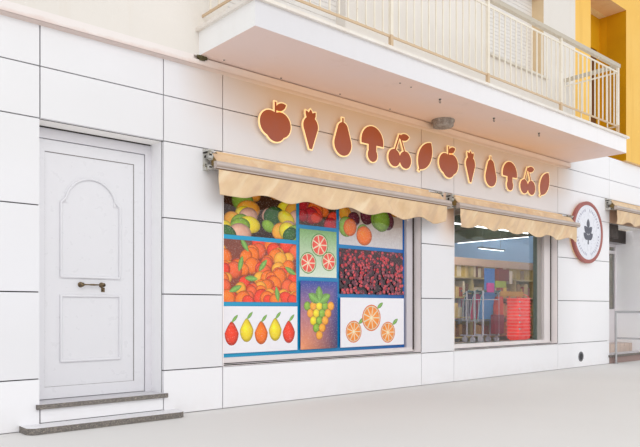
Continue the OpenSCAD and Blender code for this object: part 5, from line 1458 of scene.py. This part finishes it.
lights_low, lights_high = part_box("ceiling_lights")
CASE_UP, CASE_H, CEILING = lights_low.z - 0.060, 0.030, 3.340
tubes, cases, hanger = bmesh.new(), bmesh.new(), bmesh.new()
for k in range(3):
    x = lights_low.x + 0.055 + 2.0 * k
    block(cases, (x - 0.030, lights_low.y, CASE_UP), (x + 0.030, lights_high.y, CASE_UP + CASE_H), 0.004)
    for y in (lights_low.y + 0.24, lights_high.y - 0.24):
        sweep(cases, [(x, y, CASE_UP + CASE_H - 0.002), (x, y, lights_high.z)], 0.004, 8)
    if k != 1:
        sweep(tubes, [(x, y, CASE_UP - 0.010) for y in (lights_low.y + 0.04, lights_high.y - 0.04)], 0.0065)
piece("strip_lights", cases, DARK_PLASTIC, replaces="ceiling_lights")
for left, right, out, up, tube_r, case_up, wires in ((6.5, 9.5, -1.0, 2.325, 0.011, 2.338, (6.8, 9.2)),
                                                     (9.44, 10.27, -2.0, 2.120, 0.006, 2.128, (9.55, 10.16))):
    sweep(tubes, [spot(left, out, up), spot(right, out, up)], tube_r)
    block(hanger, spot(left - 0.02, out + 0.025, case_up),
          spot(right + 0.02, out - 0.025, case_up + 0.022), 0.004)
    for along in wires:
        sweep(hanger, [spot(along, out, case_up + 0.020), spot(along, out, CEILING)], 0.003, 8)
piece("light_tubes", tubes, glowing("Light tube", 3.0), smooth=180)
piece("hanging_light_case", hanger, DARK_PLASTIC)
places = [(along, out, 0.3) for along in (4.0, 6.5, 9.0, 11.2) for out in (-1.6, -3.6, -6.0)]
places += [(along, -0.55, 0.4) for along in (6.5, 7.6, 8.7)]
blocks("ceiling_panels", glowing("Ceiling panel", 14.0), "light_case", 0.003,
       *[((along, out, 3.315), (along + 0.9, out - deep, 3.338)) for along, out, deep in places])
print(len(places), "ceiling panels")

# %% Trolley fittings: advertising panels, grips, rails and handles
ADVERTS = ((70, 140, 205), (238, 62, 122), (50, 64, 110), (240, 96, 140))
TROLLEY_PITCH, LEAN, ADVERT_UP, ADVERT_H = 0.190, 0.100, 0.77, 0.50
trolley_low, trolley_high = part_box("trolley_row")
left, right = trolley_low.x - LEFT_X + 0.040, trolley_high.x - LEFT_X - 0.040
grips, rails, handles = bmesh.new(), bmesh.new(), bmesh.new()
for k, colour in enumerate(ADVERTS):
    at = FACE_Y - trolley_low.y - TROLLEY_PITCH * k
    advert = bmesh.new()
    block(advert, spot(left, at - 0.056, ADVERT_UP), spot(right, at - 0.050, ADVERT_UP + ADVERT_H), 0.002)
    for vert in advert.verts:
        vert.co.y += LEAN * (ADVERT_UP + ADVERT_H - vert.co.z) / ADVERT_H
    piece(f"trolley_panel_{k}", advert, lacquer(f"Panel print {k}", colour, 0.4, 0.3))
    sweep(grips, [spot(side, at - 0.012, 1.318) for side in (left + 0.02, right - 0.02)], 0.021)
    for side in (left, right):
        line = [spot(side, at - back, up) for back, up in ((0.020, 1.300), (0.080, 1.190), (0.170, 0.700))]
        sweep(rails, line, 0.009, 8)
        sweep(handles, [spot(side, at + 0.040, 1.340), spot(side, at - 0.110, 1.262)], 0.017, 10)
piece("trolley_grips", grips, lacquer("Grip teal", (36, 84, 88), 0.4, 0.1), smooth=180)
piece("trolley_rails", rails, lacquer("Rail pale teal", (150, 176, 184), 0.35, 0.1), smooth=180)
piece("trolley_handles", handles, lacquer("Handle teal", (44, 96, 104), 0.4, 0.2), smooth=180)
print("fittings for", len(ADVERTS), "trolleys")

# %% Red plastic for a nest of baskets, each held by the rim of the one below
nest_low, nest_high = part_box("basket_stack")
FIRST_RIM, RIM_H, NEST_SHIFT, NEST_PITCH, NEST_N = 0.100, 0.022, 0.10, 0.070, 12


def basket_red():
    """Thin red plastic that glows a little as painted light, with paler rims at every level of the nest as
    painted highlights.
    """
    made = Finish("Basket red", 0.25, Emission_Strength=0.30)
    over_rim = made.sum(made.part("Z"), -(nest_low.z + FIRST_RIM))
    in_step = made.band(made.sum(over_rim, NEST_PITCH, how="MODULO"), 0.023, 0.021, 0, 0.5)
    rim = made.product(in_step, made.band(over_rim, -0.001, 0.0))
    red = made.mottle((252, 52, 40), (238, 32, 28), 6, 4)
    # Painted light: the red glows, and the rims glow paler.
    made.glow(made.blend(rim, (1.0, 0.03, 0.02, 1), (0.5, 0.2, 0.2, 1)))
    return made.done(made.blend(rim, red, (255, 186, 172)), made.spread(made.cloud(9, 3), 0.2, 0.34),
                     (made.cloud(60, 3), 0.0002))


BASKET_RED = basket_red()
print("baskets", round(nest_high.z - nest_low.z, 2), "m high together")

# %% The nest of baskets
def nested(inset, low, high, soft):
    """A block of the nest, as wide as the nest less an inset on both sides."""
    x, y = inset
    block(nest, (left + x, nest_low.y + y, low), (right - x, nest_high.y - y, high), soft)


left, right = nest_low.x + NEST_SHIFT, nest_high.x + NEST_SHIFT + 0.075
nest, tags = bmesh.new(), bmesh.new()
for k in range(NEST_N):
    up = nest_low.z + FIRST_RIM + k * NEST_PITCH
    nested((0, 0), up, up + RIM_H, 0.007)
    nested((0.022, 0.022), up - 0.060, up + 0.010, 0.010)
    if k in range(2, NEST_N - 1, 2):
        block(tags, (left + 0.030, nest_low.y - 0.004, up - 0.006),
              (left + 0.080, nest_low.y + 0.004, up + 0.026), 0.002)
nested((0.060, 0.050), nest_low.z, nest_low.z + 0.060, 0.012)
for x in (left + 0.10, right - 0.10):
    sweep(nest, [(x, (nest_low.y + nest_high.y) / 2 - 0.13 * math.cos(t), up + RIM_H + 0.075 * math.sin(t))
                 for t in (math.pi * j / 12 for j in range(13))], 0.008, 8)
piece("basket_nest", nest, BASKET_RED, replaces="basket_stack")
piece("basket_tags", tags, lacquer("Light case", (244, 244, 243), 0.4, 0.01))
print("nest of", NEST_N, "baskets")

# %% Shelves with goods across the room and along the back
SHELF_D, SHELF_FLOOR = 0.42, 0.31
GOODS = ((196, 168, 110), (150, 112, 62), (184, 150, 60), (104, 62, 36), (206, 190, 160), (150, 50, 30))
goods_dice = random.Random(8)
shelves, goods = bmesh.new(), [bmesh.new() for _ in GOODS]


def shelf_unit(along, back, width):
    """One shelf unit with four boards; it looks to the street."""
    def add(bm, low, high, soft=0.002):
        block(bm, *(spot(along + a, back + o, SHELF_FLOOR + u) for a, o, u in (low, high)), soft)

    add(shelves, (0, 0, 0), (width, 0.02, 1.70))
    for side in (0, width - 0.02):
        add(shelves, (side, 0, 0), (side + 0.02, SHELF_D, 1.62))
    for up in (0.08, 0.48, 0.88, 1.28):
        add(shelves, (0, 0, up), (width, SHELF_D, up + 0.03))
        at = 0.03
        while at < width - 0.17:
            wide, tall = goods_dice.uniform(0.06, 0.15), goods_dice.uniform(0.18, 0.32)
            kind = goods[goods_dice.randrange(len(goods))]
            add(kind, (at, 0.10, up + 0.031), (at + wide, SHELF_D - 0.04, up + 0.03 + tall), 0.006)
            at += wide + 0.006


for k in range(4):
    shelf_unit(9.30 + k * 0.785, -2.6 - SHELF_D, 0.775)
for k in range(6):
    shelf_unit(5.6 + k * 1.02, -7.9 - SHELF_D, 1.0)
blocks("shelf_header", lacquer("Header beige", (190, 160, 138), 0.5, 0.06), "light_case", 0.004,
       ((9.30, -2.58, 1.84), (12.44, -2.60, 2.00)))
piece("shop_shelves", shelves, lacquer("Shelf paint", (180, 160, 108), 0.5, 0.06))
for k, (bm, colour) in enumerate(zip(goods, GOODS)):
    piece(f"shelf_goods_{k}", bm, lacquer(f"Goods {k}", colour, 0.4, 0.25))
print("shelves and goods placed")

# %% Wall paint and the promotion stand
STAND_OUT = -2.10
STAND = {"base": ((132, 16, 48), (10.12, 10.44), (0.480, 0.860), 0.10),
         "side": ((196, 50, 26), (10.20, 10.42), (0.861, 1.220), 0.10),
         "board": ((50, 108, 176), (9.78, 10.12), (1.240, 1.770), 0.02),
         "pack": ((200, 50, 140), (9.83, 10.07), (1.300, 1.480), -0.02),
         "crate": ((150, 164, 50), (10.16, 10.52), (1.400, 1.530), 0.10),
         "bin": ((122, 34, 28), (10.24, 10.62), (1.531, 1.770), 0.10),
         "box": ((214, 196, 180), (10.64, 10.74), (1.480, 1.740), 0.08),
         "tray": ((206, 146, 60), (10.30, 11.16), (1.230, 1.330), 0.10)}


def shop_walls():
    """Blue-grey walls, a painted reflection of the sky in the glass, with a dark green band under the ceiling,
    a painted reflection of the awnings.
    """
    made = Finish("Shop walls", 0.7)
    cloudy = made.band(made.cloud(0.9, 5))
    # Painted reflections: the blue-grey stands for the sky in the glass, the dark green for the awnings.
    blue = made.blend(cloudy, (140, 172, 206), (128, 162, 198))
    green = made.blend(cloudy, (70, 82, 68), (58, 70, 60))
    return made.done(made.blend(made.reach("Z", 2.63, 2.64), blue, green), made.band(cloudy, 0, 1, 0.6, 0.8),
                     (made.cloud(160, 3), 0.0004))


blocks("shop_wall_paint", shop_walls(), "render_pale", 0.004, ((12.50, -1.0, 0.32), (12.525, -8.6, 3.33)),
       ((0.30, -8.70, 0.32), (12.45, -8.72, 3.33)))
for name, (colour, along, up, deep) in STAND.items():
    blocks(f"promo_{name}", lacquer(f"Promo {name}", colour, 0.4, 0.2), "light_case", 0.006,
           ((along[0], STAND_OUT, up[0]), (along[1], STAND_OUT - deep, up[1])))
print("walls painted, promotion stand placed")

# %% Floor
ground, sheet = bmesh.new(), bpy.data.meshes.new("Floor")
bmesh.ops.create_grid(ground, x_segments=1, y_segments=1, size=40)
ground.to_mesh(sheet)
ground.free()
floor = bpy.data.objects.new("Floor", sheet)
bpy.context.scene.collection.objects.link(floor)
floor.location.z = -0.002
pale = Finish("Pale floor", 0.9, Specular_IOR_Level=0.2)
sheet.materials.append(pale.done(pale.mottle((226, 224, 222), (230, 228, 226), 0.4, 3), None))
